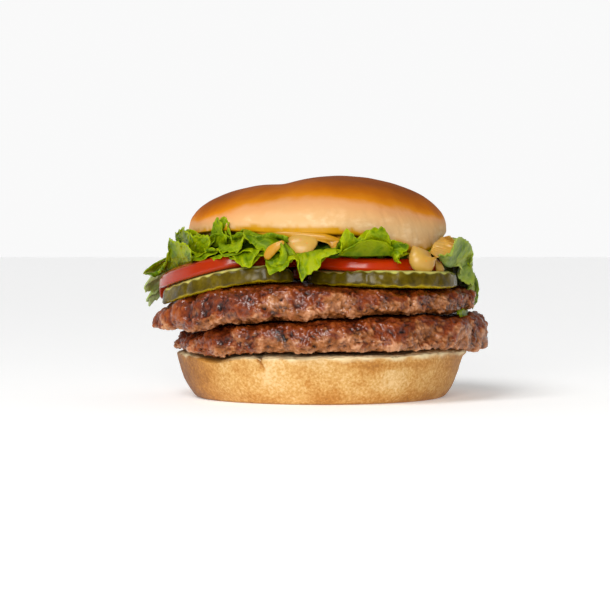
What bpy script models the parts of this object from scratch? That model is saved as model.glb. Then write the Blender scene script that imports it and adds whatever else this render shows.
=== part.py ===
"""A double hamburger, one named object for each piece of it, from the heel of the bun up to the crown.

Shapes are worked out in millimetres from the sizes below and written to Blender in metres. +Z is up, the
front of the burger looks along -Y, and the origin is the middle of the heel's flat underside.
"""

import math

import bpy
import numpy as np
from mathutils import Vector, noise

MM = 0.001
CLEAR = 0.3  # between two pieces that touch

# The bun: half its width, half its depth, and heights above the table
HEEL_HALF_WIDTH = 60.8
HEEL_HALF_DEPTH = 58.6
HEEL_HEIGHT = 20.6
HEEL_FOOT_SHARE = 0.83  # how much of the heel's width is flat on the table
HEEL_WIDEST_AT = 0.93  # of its height
CROWN_HALF_WIDTH = 54.8
CROWN_HALF_DEPTH = 54.0
CROWN_MIDDLE_X = -1.3
CROWN_BASE = 68.4
CROWN_TOP = 92.2
CROWN_TILT = 1.9  # how much higher the dome is on its right than on its left

# The two patties
LOWER_PATTY_MIDDLE_X = 4.3
LOWER_PATTY_HALF_WIDTH = 66.0
LOWER_PATTY_HALF_DEPTH = 62.6
UPPER_PATTY_MIDDLE_X = -3.0
UPPER_PATTY_HALF_WIDTH = 67.6
UPPER_PATTY_HALF_DEPTH = 62.0
PATTY_MEETING = 34.3  # the height at which one lies on the other
CRAG_SIZE = 11.0
CRAG_DEPTH = 3.2
UPPER_PATTY_TOP = 48.2

# Pickles and tomato, as thick as they are where the bun presses on them
PICKLE_THICKNESS = 5.1
PICKLE_RIM_THICKNESS = 6.9
TOMATO_THICKNESS = 6.4
TOMATO_MEETING_X = -10.5  # where the two slices meet

# Lettuce and sauce
LEAF_THICKNESS = 0.8
LEAF_HEART = 16.0  # the leaves start this far from the middle
LEAF_NECK = 46.0  # where they come out from under the crown
LEAF_KNEE = 71.5  # a leaf that hangs down bends over no further out than this
LEAF_PLEAT = 2.2  # how far the edge is drawn in between two of its tips
SAUCE_THICKNESS = 1.3
SAUCE_SHARE = 0.93  # of the crown's width
# Where the sauce runs out: the angle and the width in degrees, how deep it hangs and how far out it stands
SAUCE_RUNS = [(262, 6.8, 6.4, 2.4), (277, 2.6, 5.0, 0.8), (313, 6.8, 8.2, 10.0), (325, 3.0, 7.4, 8.0)]

# Colour, roughness, and how much light goes in under the skin
CRUST = ("#E2A75A", 0.5, 0.0)
HEEL_CRUST = ("#E5BE7A", 0.7, 0.0)
SEARED_BEEF = ("#8A4A34", 0.45, 0.0)
PICKLE = ("#7C7A1E", 0.25, 0.2)
TOMATO = ("#C8300E", 0.2, 0.2)
LETTUCE = ("#8DB912", 0.4, 0.1)
BURGER_SAUCE = ("#E0B468", 0.3, 0.1)


def smooth(low, high, value):
    """0 as far as low, 1 from high on, and an even curve between them. low may be the larger one."""
    share = np.clip((value - low) / (high - low), 0, 1)
    return share * share * (3 - 2 * share)


def hump(value, middle, width):
    return np.exp(-(((value - middle) / width) ** 2))


def turn_hump(angle, middle_deg, width_deg):
    """A hump on a circle, so that it goes on past a full turn."""
    away = (angle - math.radians(middle_deg) + math.pi) % (2 * math.pi) - math.pi
    return np.exp(-((away / math.radians(width_deg)) ** 2))


def wobble(angle, seed, amount, waves=(2, 3, 5, 7)):
    """A slow unevenness round a circle, with fewer and weaker quick waves."""
    draw = np.random.default_rng(seed)
    total = np.zeros_like(angle, dtype=float)
    for count in waves:
        total += np.cos(count * angle + draw.uniform(0, 2 * math.pi)) * draw.uniform(0.5, 1.0) / math.sqrt(count)
    return amount * total


def ellipse(angle, half_width, half_depth):
    return 1 / np.sqrt((np.cos(angle) / half_width) ** 2 + (np.sin(angle) / half_depth) ** 2)


# Heights at which one layer ends and the next starts, over any point of the burger


def heel_top(x, y):
    front_left_dent = 2.6 * hump(x, -45, 9) * hump(y, -42, 14)
    return HEEL_HEIGHT + 0.012 * x + 0.35 * np.sin(0.11 * x) * np.cos(0.09 * y) - front_left_dent


def patty_meeting(x, y):
    """Where the upper patty lies on the lower one: higher at the right, and lumpy."""
    left_sag = 2.6 * hump(x, -54, 13)
    lumps = 0.5 * np.sin(0.31 * x + 1.0)
    return PATTY_MEETING + 0.06 * x + (lumps - left_sag) * smooth(46, 57, np.hypot(x, y))


def upper_patty_top(x, y):
    ridge = 1.2 * hump(x, -18, 17)
    left_fall = 0.0052 * np.maximum(0, -x - 22) ** 2
    back_fall = 0.0012 * np.maximum(0, y - 20) ** 2
    return UPPER_PATTY_TOP + ridge - 0.036 * np.maximum(x, 0) - left_fall - back_fall


def pickle_bottom(x, y):
    return upper_patty_top(x, y) + 2.3 * CLEAR + 0.5 * smooth(46, 58, np.hypot(x, y))


def pickle_top(x, y):
    at_rim = smooth(50, 57, np.hypot(x, y))
    return pickle_bottom(x, y) + PICKLE_THICKNESS + (PICKLE_RIM_THICKNESS - PICKLE_THICKNESS - 0.5) * at_rim


def tomato_bottom(x, y):
    return pickle_top(x, y) + 1.6 * CLEAR


def tomato_top(x, y):
    return tomato_bottom(x, y) + TOMATO_THICKNESS


def crown_base(x, y):
    """The cut face of the crown, which dips towards the front right."""
    angle = np.arctan2(y, x)
    out = smooth(34, 50, np.hypot(x, y))
    left_lift = 2.6 * turn_hump(angle, 225, 30) - 1.6 * turn_hump(angle, 178, 22)
    right_dip = 5.2 * turn_hump(angle, 318, 23)
    back_wave = 1.2 * turn_hump(angle, 60, 30) - 0.9 * turn_hump(angle, 120, 25)
    return CROWN_BASE + out * (left_lift - right_dip - back_wave)


def crown_reach(angle):
    """How far the crown reaches from its own middle, in each direction."""
    even = ellipse(angle, CROWN_HALF_WIDTH, CROWN_HALF_DEPTH)
    return even + wobble(angle, 5, 0.35, (3, 4)) - 1.2 * turn_hump(angle, 90, 35)


def colour(code):
    """A hex colour as Blender's linear numbers."""
    parts = [int(code[i : i + 2], 16) / 255 for i in (1, 3, 5)]
    return [*(c / 12.92 if c <= 0.04045 else ((c + 0.055) / 1.055) ** 2.4 for c in parts), 1.0]


def food_material(name, code, roughness, under_skin):
    material = bpy.data.materials.new(name)
    material.use_nodes = True
    shader = material.node_tree.nodes["Principled BSDF"]
    shader.inputs["Base Color"].default_value = colour(code)
    shader.inputs["Roughness"].default_value = roughness
    shader.inputs["Metallic"].default_value = 0.0
    shader.inputs["Subsurface Weight"].default_value = under_skin
    return material


def new_object(name, points, faces, finish):
    """A mesh object in metres, with a material of its own and its origin in the middle of the points, which are in
    millimetres."""
    points = np.asarray(points, float)
    middle = (points.min(axis=0) + points.max(axis=0)) / 2
    mesh = bpy.data.meshes.new(name)
    mesh.from_pydata(((points - middle) * MM).tolist(), [], faces)
    mesh.shade_smooth()
    mesh.materials.append(food_material(name, *finish))
    made = bpy.data.objects.new(name, mesh)
    made.location = Vector(middle) * MM
    bpy.context.scene.collection.objects.link(made)
    return made


def ring_faces(segments, rings):
    """Faces of a round body: a pole, then rings of the same number of points, then the other pole."""
    last = 1 + segments * rings
    faces = []
    for i in range(segments):
        j = (i + 1) % segments
        faces.append((0, 1 + i, 1 + j))
        foot = last - segments
        faces.append((last, foot + j, foot + i))
        for k in range(rings - 1):
            upper = 1 + k * segments
            lower = upper + segments
            faces.append((upper + i, lower + i, lower + j, upper + j))
    return faces


def crags(points, strength, size, amount, seed):
    """Moves the points sideways by a noise of lumps that are size millimetres across, each by its own strength."""
    shift = np.zeros_like(points)
    for axis in (0, 1):
        start = Vector((seed + 20 * axis, 0, 0))
        shift[:, axis] = [noise.noise(Vector(point) / size + start) for point in points]
    return points + amount * strength[:, None] * shift


def slab(name, finish, middle, reach, top, bottom, segments, rings, level, bulge, relief=None):
    """A round flat body between two heights. level is how high its widest line is, from 0 at the bottom to 1 at
    the top, and bulge is how square its shoulder and its foot are, from 2, round, upwards. reach, level and bulge
    may depend on the angle."""
    angle = np.linspace(0, 2 * math.pi, segments, endpoint=False)
    out = reach(angle)
    level = level(angle) if callable(level) else np.full(segments, level)
    shoulder = bulge[0](angle) if callable(bulge[0]) else np.full(segments, bulge[0])
    foot = np.full(segments, bulge[1])
    points, strength = [], []

    def place(share, height, at):
        x = middle[0] + share * out[at] * np.cos(angle[at])
        y = middle[1] + share * out[at] * np.sin(angle[at])
        high, low = top(x, y), bottom(x, y)
        widest = low + (high - low) * level[at]
        z = widest + np.where(height > 0, high - widest, widest - low) * height
        points.extend(np.stack([x, y, z], axis=-1).reshape(-1, 3))
        strength.extend(np.atleast_1d(np.broadcast_to(smooth(0.7, 0.97, share), np.shape(x))))

    place(np.float64(0), np.float64(1), 0)
    every = np.arange(segments)
    for k in range(1, rings + 1):
        lean = math.pi / 2 - math.pi * k / (rings + 1)
        square = shoulder if lean > 0 else foot
        share = math.cos(lean) ** (2 / square)
        height = math.copysign(1, lean) * abs(math.sin(lean)) ** (2 / square)
        place(share, height, every)
    place(np.float64(0), np.float64(-1), 0)
    points, strength = np.array(points), np.array(strength)
    if relief:
        points = crags(points, strength, *relief)
    return new_object(name, points, ring_faces(segments, rings), finish)


def make_heel():
    """The heel: a flat foot, sides that lean out as they rise, and the torn edge of the cut on top."""
    segments, side_rings, top_rings = 44, 6, 2
    angle = np.linspace(0, 2 * math.pi, segments, endpoint=False)
    widest = ellipse(angle, HEEL_HALF_WIDTH, HEEL_HALF_DEPTH) + wobble(angle, 11, 0.5)
    # Each pair of the profile is a share of the width and a share of the height
    profile = [(0.5 * HEEL_FOOT_SHARE, 0.0), (HEEL_FOOT_SHARE, 0.0)]
    for k in range(1, side_rings + 1):
        climb = k / side_rings
        share = HEEL_FOOT_SHARE + (1 - HEEL_FOOT_SHARE) * climb**0.77
        profile.append((share, HEEL_WIDEST_AT * climb**1.7))
    profile.append((0.982, 0.99))
    profile += [(0.94 * (1 - k / top_rings), 1.0) for k in range(top_rings)]
    points = [(0.0, 0.0, 0.0)]
    for share, up in profile:
        x = share * widest * np.cos(angle)
        y = share * widest * np.sin(angle)
        points.extend(np.stack([x, y, up * heel_top(x, y)], axis=-1))
    points.append((0.0, 0.0, float(heel_top(0.0, 0.0))))
    faces = [tuple(reversed(face)) for face in ring_faces(segments, len(profile))]
    return new_object("heel", np.array(points), faces, HEEL_CRUST)


def make_lower_patty():
    def reach(angle):
        even = ellipse(angle, LOWER_PATTY_HALF_WIDTH, LOWER_PATTY_HALF_DEPTH)
        return even + wobble(angle, 21, 0.7, (3, 5, 8)) + 1.2 * turn_hump(angle, 222, 10)

    def top(x, y):
        return patty_meeting(x, y) - CLEAR

    def bottom(x, y):
        """Rests on the heel, and sags over its edge at the left, the right and the front left."""
        past_heel = smooth(1.015, 1.09, np.hypot(x / HEEL_HALF_WIDTH, y / HEEL_HALF_DEPTH))
        angle = np.arctan2(y, x)
        sag = 1.0 + 3.2 * turn_hump(angle, 222, 13) + 2.6 * turn_hump(angle, 355, 22) + 2.0 * turn_hump(angle, 178, 20)
        return heel_top(x, y) + 1.6 * CLEAR - past_heel * sag

    def level(angle):
        return 0.42 - 0.27 * turn_hump(angle, 180, 28) - 0.1 * turn_hump(angle, 0, 30)

    middle = (LOWER_PATTY_MIDDLE_X, 0.0)
    relief = (CRAG_SIZE, CRAG_DEPTH, 3.0)
    return slab("patty_lower", SEARED_BEEF, middle, reach, top, bottom, 64, 10, level, (6.0, 5.0), relief)


def make_upper_patty():
    def reach(angle):
        even = ellipse(angle, UPPER_PATTY_HALF_WIDTH, UPPER_PATTY_HALF_DEPTH)
        return even + wobble(angle, 31, 0.7, (3, 5, 8)) + 0.8 * turn_hump(angle, 180, 9)

    def bottom(x, y):
        return patty_meeting(x, y) + CLEAR

    def level(angle):
        return 0.45 - 0.22 * turn_hump(angle, 180, 30)

    middle = (UPPER_PATTY_MIDDLE_X, 0.0)
    relief = (CRAG_SIZE, CRAG_DEPTH, 9.0)
    return slab("patty_upper", SEARED_BEEF, middle, reach, upper_patty_top, bottom, 64, 10, level, (6.0, 5.6), relief)


def make_pickle(name, middle, half_length, half_width, turn_deg, seed):
    """An oval slice with the knobbly outline of a pickle, as bent as the patty that it lies on."""

    def reach(angle):
        own = angle - math.radians(turn_deg)
        knobs = 0.55 * np.abs(np.sin(6.5 * own + seed)) + wobble(own, seed, 0.35, (4, 7))
        return ellipse(own, half_length, half_width) + knobs

    return slab(name, PICKLE, middle, reach, pickle_top, pickle_bottom, 34, 6, 0.5, (7, 7))


def make_tomato(name, middle, half_width, half_depth, side, seed):
    """A slice that bends over the pickles. side is -1 for the left one and 1 for the right one, and the two press
    flat against each other where they meet."""

    def reach(angle):
        even = ellipse(angle, half_width, half_depth) + wobble(angle, seed, 0.3, (3, 5))
        towards = -side * np.cos(angle)
        room = side * (middle[0] - TOMATO_MEETING_X) - CLEAR
        return np.where(towards > 0.05, np.minimum(even, room / np.maximum(towards, 0.05)), even)

    def droop(x, y):
        """The left end bends down where no pickle is under it."""
        return smooth(-56, -68, x) * smooth(-4, 3, y) * smooth(24, 14, y)

    def sag(x, y):
        """Between the two pickles at the front, the right slice sinks towards the patty."""
        return 5.2 * smooth(-3.5, -8, x) * smooth(-13, -21, y) if side > 0 else 0.0

    def bottom(x, y):
        return tomato_bottom(x, y) - 5.6 * droop(x, y) - sag(x, y)

    def top(x, y):
        return tomato_top(x, y) - 2.0 * droop(x, y) - sag(x, y)

    return slab(name, TOMATO, middle, reach, top, bottom, 36, 6, 0.5, (6, 6))


def make_crown():
    def top(x, y):
        along = x - CROWN_MIDDLE_X
        dimple = 0.7 * hump(x, -16, 5) * hump(y, 0, 40)
        return CROWN_TOP + CROWN_TILT * np.tanh((along + 5) / 14) - dimple

    def level(angle):
        return 0.15 + 0.05 * turn_hump(angle, 318, 40) - 0.06 * turn_hump(angle, 180, 40)

    def shoulder(angle):
        return 2.25 - 0.2 * np.cos(angle)

    middle = (CROWN_MIDDLE_X, 0.0)
    return slab("crown", CRUST, middle, crown_reach, top, crown_base, 56, 11, level, (shoulder, 3.6))


def through(knots, steps):
    """Points on a smooth curve through the knots, steps to each stretch between two of them."""
    knots = np.asarray(knots, float)
    held = np.concatenate([[2 * knots[0] - knots[1]], knots, [2 * knots[-1] - knots[-2]]])
    made = []
    for i in range(len(knots) - 1):
        a, b, c, d = held[i : i + 4]
        for t in np.linspace(0, 1, steps, endpoint=False):
            made.append(
                0.5 * (2 * b + (c - a) * t + (2 * a - 5 * b + 4 * c - d) * t**2 + (3 * b - a - 3 * c + d) * t**3)
            )
    return np.array([*made, knots[-1]])


def leaf_sheet(tips, heart_level, neck_level, arch, lean, steps=3, frill_rows=5):
    """The middle surface of a leaf, as a grid of points. It runs from the heart of the burger out to the neck, then
    bends in one curve to its frilled edge. tips are the outermost points of the frills, each an angle in degrees,
    how far out it is and its height, and the edge is drawn in between them. arch lifts the bend, most of all in
    the middle of the leaf, and lean is how far the bend goes to the side of its tip."""
    rim = through(tips, steps)
    rim[:, 1] -= LEAF_PLEAT * np.abs(np.sin(math.pi * np.arange(len(rim)) / steps))
    root = np.radians(np.linspace(tips[0][0], tips[-1][0], len(rim)))
    heart_x, heart_y = LEAF_HEART * np.cos(root), LEAF_HEART * np.sin(root)
    neck_x, neck_y = LEAF_NECK * np.cos(root), LEAF_NECK * np.sin(root)
    foot = np.stack([neck_x, neck_y, neck_level(neck_x, neck_y)], axis=-1)
    tip_angle = np.radians(rim[:, 0])
    tip = np.stack([rim[:, 1] * np.cos(tip_angle), rim[:, 1] * np.sin(tip_angle), rim[:, 2]], axis=-1)
    rise = tip[:, 2] - foot[:, 2]
    knee_angle = root + lean * (tip_angle - root)
    knee_out = np.minimum(rim[:, 1] + np.where(rise > 0, 1.5, -0.5), LEAF_KNEE)
    knee_height = foot[:, 2] + 0.15 * rise + arch * np.sin(math.pi * np.linspace(0, 1, len(rim)))
    knee = np.stack([knee_out * np.cos(knee_angle), knee_out * np.sin(knee_angle), knee_height], axis=-1)
    grid = [np.stack([heart_x, heart_y, heart_level(heart_x, heart_y)], axis=-1)]
    for t in np.linspace(0, 1, frill_rows + 1):
        grid.append((1 - t) ** 2 * foot + 2 * t * (1 - t) * knee + t**2 * tip)
    return np.array(grid)


def leaf_solid(name, sheet):
    """A thin solid round a grid of points, with both faces split into triangles alike."""
    rows, columns = sheet.shape[:2]
    along = np.gradient(sheet, axis=1)
    across = np.gradient(sheet, axis=0)
    normal = np.cross(across, along)
    normal /= np.linalg.norm(normal, axis=-1, keepdims=True)
    upper = (sheet + normal * LEAF_THICKNESS / 2).reshape(-1, 3)
    lower = (sheet - normal * LEAF_THICKNESS / 2).reshape(-1, 3)
    count = rows * columns
    faces = []
    for i in range(rows - 1):
        for j in range(columns - 1):
            a, b = i * columns + j, i * columns + j + 1
            c, d = a + columns, b + columns
            for face in ((a, d, b), (a, c, d)):
                faces.append(face)
                faces.append(tuple(count + v for v in reversed(face)))
    border = list(range(columns))
    border += [i * columns + columns - 1 for i in range(1, rows)]
    border += [(rows - 1) * columns + j for j in range(columns - 2, -1, -1)]
    border += [i * columns for i in range(rows - 2, 0, -1)]
    for a, b in zip(border, border[1:] + border[:1]):
        faces.append((a, b, count + b))
        faces.append((a, count + b, count + a))
    return new_object(name, np.concatenate([upper, lower]), faces, LETTUCE)


def drip_room(x, y):
    """How much lower the leaves lie where the middle drip of sauce comes down on them."""
    return 3.0 * turn_hump(np.arctan2(y, x), 262, 10) * smooth(36, 45, np.hypot(x, y))


def on_tomato(x, y):
    return tomato_top(x, y) + 1.2 - drip_room(x, y)


def over_tomato(x, y):
    return tomato_top(x, y) + 2.0 - drip_room(x, y)


def under_crown(x, y):
    return crown_base(x, y) - SAUCE_THICKNESS - 2.0


# The tips of the frills, as (angle in degrees, how far out, height)
LEFT_UPPER_TIPS = [
    (178, 66.0, 56.5), (186, 66.0, 63.5), (192, 65.0, 67.0), (198, 62.0, 71.0), (206, 60.5, 69.5), (214, 63.0, 67.5),
    (220, 65.0, 61.6), (224, 60.0, 75.8), (229, 60.0, 72.0), (234, 64.5, 61.8), (239, 59.5, 71.0), (246, 63.0, 62.5),
    (251.5, 59.0, 65.0),
]  # fmt: skip
LEFT_LOWER_TIPS = [
    (188, 64.5, 57.0), (197, 63.0, 64.0), (206, 64.0, 58.5), (214, 66.0, 58.0), (220, 65.5, 58.8), (227, 62.0, 63.0),
    (234, 63.5, 60.0), (242, 65.5, 55.6), (246, 60.5, 61.0), (250, 65.0, 53.8), (254, 64.0, 54.5), (256, 59.0, 60.0),
]  # fmt: skip
FRONT_TIPS = [
    (259, 58.5, 59.5), (262, 61.5, 51.2), (266, 61.0, 54.5), (270, 59.5, 57.5), (276, 58.5, 64.0), (280.5, 59.5, 71.2),
    (285, 58.0, 67.5), (290, 60.5, 71.5), (295, 60.5, 71.5), (300, 60.5, 66.5), (305, 62.5, 64.0), (302.5, 62.5, 57.0),
]  # fmt: skip
RIGHT_TIPS = [
    (333, 59.0, 62.0), (336, 62.0, 57.5), (341, 64.5, 52.0), (346, 64.5, 48.5), (351, 68.0, 45.5), (357, 69.0, 41.0),
    (364, 70.0, 36.5), (371, 69.5, 38.0), (378, 70.0, 41.5), (387, 67.0, 46.5), (395, 67.5, 53.0), (403, 61.0, 61.0),
]  # fmt: skip
LEFT_BACK_TIPS = [
    (166, 68.0, 57.0), (175, 75.5, 51.4), (168, 71.0, 49.5), (173, 75.5, 45.4), (171.5, 75.0, 42.8),
    (165, 71.0, 44.0), (169.5, 76.0, 39.3), (167.5, 75.0, 37.3), (161, 71.0, 42.5), (154, 69.0, 52.5),
    (147, 63.5, 64.5), (138, 60.5, 68.0),
]  # fmt: skip


BACK_TIPS = [
    (45, 60.0, 58.0), (53, 60.5, 66.0), (60, 61.0, 70.5), (67, 64.5, 62.0), (74, 63.5, 55.5), (81, 60.0, 61.0),
    (89, 61.0, 69.5), (97, 64.0, 64.0), (104, 64.5, 56.0), (111, 60.5, 58.5), (119, 60.5, 67.5), (127, 63.5, 64.0),
    (135, 62.5, 56.5),
]  # fmt: skip


def make_lettuce():
    """Frilled leaves: two deep at the front left, one that hangs down at each end, and one at the back."""
    leaves = [
        ("lettuce_left_upper", LEFT_UPPER_TIPS, under_crown, under_crown, 0.0, 0.7),
        ("lettuce_left_lower", LEFT_LOWER_TIPS, over_tomato, over_tomato, 1.6, 0.7),
        ("lettuce_front", FRONT_TIPS, under_crown, on_tomato, 0.0, 0.7),
        ("lettuce_right", RIGHT_TIPS, under_crown, on_tomato, 21.0, 0.7),
        ("lettuce_left_back", LEFT_BACK_TIPS, under_crown, over_tomato, 5.5, 0.15),
        ("lettuce_back", BACK_TIPS, under_crown, on_tomato, 0.0, 0.7),
    ]
    for name, tips, heart_level, neck_level, arch, lean in leaves:
        leaf_solid(name, leaf_sheet(tips, heart_level, neck_level, arch, lean))


def make_sauce():
    """A thin layer under the crown, which runs out at the front in a drip, a string and a thick blob."""
    angles, widths, depths, stands = zip(*SAUCE_RUNS)

    def runs(angle, amounts, spread):
        rows = zip(angles, widths, amounts)
        return sum(amount * turn_hump(angle, at, width * spread) for at, width, amount in rows)

    def reach(angle):
        return SAUCE_SHARE * crown_reach(angle) + runs(angle, stands, 1.4)

    def hang(x, y):
        """How far the sauce hangs below its even layer, which it does only at its edge."""
        angle = np.arctan2(y, x - CROWN_MIDDLE_X)
        share = np.hypot(x - CROWN_MIDDLE_X, y) / reach(angle)
        return runs(angle, depths, 1.0) * smooth(0.93, 0.98, share)

    def top(x, y):
        return crown_base(x, y) - 1.7 * CLEAR - 0.3 * hang(x, y)

    def bottom(x, y):
        return crown_base(x, y) - 1.7 * CLEAR - SAUCE_THICKNESS - hang(x, y)

    return slab("sauce", BURGER_SAUCE, (CROWN_MIDDLE_X, 0.0), reach, top, bottom, 60, 7, 0.5, (6.5, 8))


def main():
    for old in list(bpy.data.objects):
        bpy.data.objects.remove(old)
    make_heel()
    make_lower_patty()
    make_upper_patty()
    make_pickle("pickle_front_left", (-38.5, -28.5), 32.0, 17.5, -40, 41)
    make_pickle("pickle_front_right", (25.5, -33.5), 30.5, 20.0, 12, 42)
    make_pickle("pickle_back_left", (-22.0, 32.0), 29.0, 18.0, 18, 43)
    make_pickle("pickle_back_right", (34.0, 24.0), 24.0, 19.0, -52, 44)
    make_tomato("tomato_left", (-34.5, -2.0), 33.5, 43.0, -1, 51)
    make_tomato("tomato_right", (18.0, -3.0), 34.0, 41.5, 1, 52)
    make_lettuce()
    make_sauce()
    make_crown()


main()
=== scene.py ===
# %% [markdown]
# A double hamburger, built from the table up: heel, two patties, pickles, tomato, lettuce, sauce and crown.
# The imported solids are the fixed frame. Each solid has the right place and form but a coarse surface, so
# each food is made again as a fine mesh in the same place. The finishes come after all of them. Everything
# that is food is worked out in millimetres with numpy, and turned to metres when its mesh is made.

# %% Load the frame
import math

import bpy
import numpy as np
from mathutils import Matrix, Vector, noise


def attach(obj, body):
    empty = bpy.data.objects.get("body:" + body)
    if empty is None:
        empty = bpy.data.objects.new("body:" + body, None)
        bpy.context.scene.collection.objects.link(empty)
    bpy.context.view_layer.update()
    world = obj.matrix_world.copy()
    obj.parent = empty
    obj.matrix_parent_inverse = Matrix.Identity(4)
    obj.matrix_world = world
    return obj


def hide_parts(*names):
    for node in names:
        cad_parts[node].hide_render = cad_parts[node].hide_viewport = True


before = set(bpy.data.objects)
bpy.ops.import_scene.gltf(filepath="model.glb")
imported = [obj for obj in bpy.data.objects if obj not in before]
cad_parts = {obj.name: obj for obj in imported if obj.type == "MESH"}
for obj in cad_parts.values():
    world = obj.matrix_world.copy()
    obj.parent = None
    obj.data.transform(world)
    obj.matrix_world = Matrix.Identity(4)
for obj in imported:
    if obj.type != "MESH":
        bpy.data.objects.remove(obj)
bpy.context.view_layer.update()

MM = 0.001

# %% [markdown]
# The camera stands where the one of the photograph stood: a little above the height of the burger, far away
# and with a long lens, so that near and far sides look almost the same size. A long lens is what food is
# usually photographed with, because it keeps the layers level.

# %% Camera
CAMERA_TARGET = Vector((-6.4, 0.0, 38.5)) * MM
CAMERA_DISTANCE = 1100 * MM
CAMERA_RISE = math.radians(2.4)
SENSOR_WIDTH = 36.0
LENS = 153.2

camera_data = bpy.data.cameras.new("camera")
camera_data.sensor_width = SENSOR_WIDTH
camera_data.lens = LENS
camera_data.clip_start = 0.05
camera = bpy.data.objects.new("camera", camera_data)
away = Vector((0, -math.cos(CAMERA_RISE), math.sin(CAMERA_RISE)))
camera.location = CAMERA_TARGET + away * CAMERA_DISTANCE
camera.rotation_euler = (math.pi / 2 - CAMERA_RISE, 0, 0)
bpy.context.scene.collection.objects.link(camera)
bpy.context.scene.camera = camera
print("camera at", [round(v, 3) for v in camera.location])

# %% [markdown]
# The studio is a pale floor before a white backdrop, with a dim ceiling and a dark room behind the camera.
# What is dark there is what wet and glossy food mirrors, so its colours stay deep. A soft sun lights the
# floor evenly, and a soft box, just above the camera and a little to its left, lights the front and gives
# the highlights. The Standard view transform keeps the colours as they are. One function adds every node of
# the scene, here and in the finishes.

# %% Studio
FLOOR_HALF = 2.5
BACKDROP_LIGHT = 0.95
CEILING_LIGHT = 0.42
CEILING_STARTS = 0.14
CEILING_FULL = 0.36
ROOM_SHARE = 0.3
ROOM_FULL = -0.2
ROOM_ENDS = 0.3
FLOOR_GLOW = 0.2
SUN_STRENGTH = 1.7
SUN_WIDTH = math.radians(30)
SUN_AIM = (0.45, 0.55, -0.9)
SOFT_BOX_POWER = 5.3
SOFT_BOX_PLACE = (-0.13, -0.95, 0.3)
SOFT_BOX_AIM = (0, 0, 0.05)


def colour(code):
    """An sRGB hex colour as Blender's linear numbers."""
    parts = [int(code[i : i + 2], 16) / 255 for i in (1, 3, 5)]
    return (*(c / 12.92 if c <= 0.04045 else ((c + 0.055) / 1.055) ** 2.4 for c in parts), 1.0)


def connect(tree, node, inputs):
    """Links each input that is given a socket, and sets the others to their value."""
    for name, value in dict(inputs).items():
        if isinstance(value, bpy.types.NodeSocket):
            tree.links.new(value, node.inputs[name])
        else:
            node.inputs[name].default_value = value


def add_node(tree, kind, inputs=(), stops=(), give=0, **settings):
    """Adds one node with its settings and inputs, and gives one of its outputs. stops are the places and
    colours of a ramp."""
    made = tree.nodes.new("ShaderNode" + kind)
    for name, value in settings.items():
        setattr(made, name, value)
    connect(tree, made, inputs)
    for place, code in stops[2:]:
        made.color_ramp.elements.new(place)
    for element, (place, code) in zip(made.color_ramp.elements if stops else (), stops):
        element.position = place
        element.color = colour(code)
    return made.outputs[give]


def add_lamp(name, kind, power, place, aim, **settings):
    """Adds a lamp with the settings of its kind, turned from its place towards what it aims at."""
    lamp = bpy.data.lights.new(name, kind)
    lamp.energy = power
    for setting, value in settings.items():
        setattr(lamp, setting, value)
    made = bpy.data.objects.new(name, lamp)
    made.location = place
    made.rotation_euler = (Vector(aim) - Vector(place)).to_track_quat("-Z", "Y").to_euler()
    bpy.context.scene.collection.objects.link(made)


world = bpy.data.worlds.new("white sky")
bpy.context.scene.world = world
world.use_nodes = True
sky = world.node_tree
direction = add_node(sky, "TexCoord", give="Generated")
split = add_node(sky, "SeparateXYZ", {"Vector": direction}).node.outputs
upwards = {0: split["Z"], 1: CEILING_STARTS, 2: CEILING_FULL, 3: BACKDROP_LIGHT, 4: CEILING_LIGHT}
light = add_node(sky, "MapRange", upwards)
room = add_node(sky, "MapRange", {0: split["Y"], 1: ROOM_FULL, 2: ROOM_ENDS, 3: ROOM_SHARE, 4: 1.0})
light = add_node(sky, "Math", {0: light, 1: room}, operation="MULTIPLY")
connect(sky, sky.nodes["Background"], {"Color": colour("#FFFFFF"), "Strength": light})
bpy.context.scene.view_settings.view_transform = "Standard"

add_lamp(
    "soft box", "AREA", SOFT_BOX_POWER, SOFT_BOX_PLACE, SOFT_BOX_AIM,
    shape="RECTANGLE", size=0.46, size_y=0.34, color=colour("#FFFDF8")[:3],
)
add_lamp("soft sun", "SUN", SUN_STRENGTH, (0, 0, 0), SUN_AIM, angle=SUN_WIDTH)

floor_mesh = bpy.data.meshes.new("floor")
floor_corners = [(FLOOR_HALF * x, FLOOR_HALF * y, 0) for x, y in ((-1, -1), (1, -1), (1, 1), (-1, 1))]
floor_mesh.from_pydata(floor_corners, [], [(0, 1, 2, 3)])
floor = bpy.data.objects.new("floor", floor_mesh)
bpy.context.scene.collection.objects.link(floor)
floor_paint = bpy.data.materials.new("matt white studio board")
floor_paint.use_nodes = True
connect(floor_paint.node_tree, floor_paint.node_tree.nodes["Principled BSDF"], {
    "Base Color": colour("#F9F9F9"), "Roughness": 0.9,
    "Emission Color": colour("#FFFFFF"), "Emission Strength": FLOOR_GLOW,
})
floor_mesh.materials.append(floor_paint)
print("studio: backdrop", BACKDROP_LIGHT, "ceiling", CEILING_LIGHT, "and", len(bpy.data.lights), "lamps")

# %% [markdown]
# Every layer lies on the one below it, so the heights at which they meet are functions of the place, shared
# by both layers. Soft food has no straight lines: a hump, a fade and a slow wobble round a circle describe
# most of it. These are the functions and sizes that the solids were made with, but for a few shifts of a
# millimetre or two, made later towards what the photograph shows.

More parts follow.
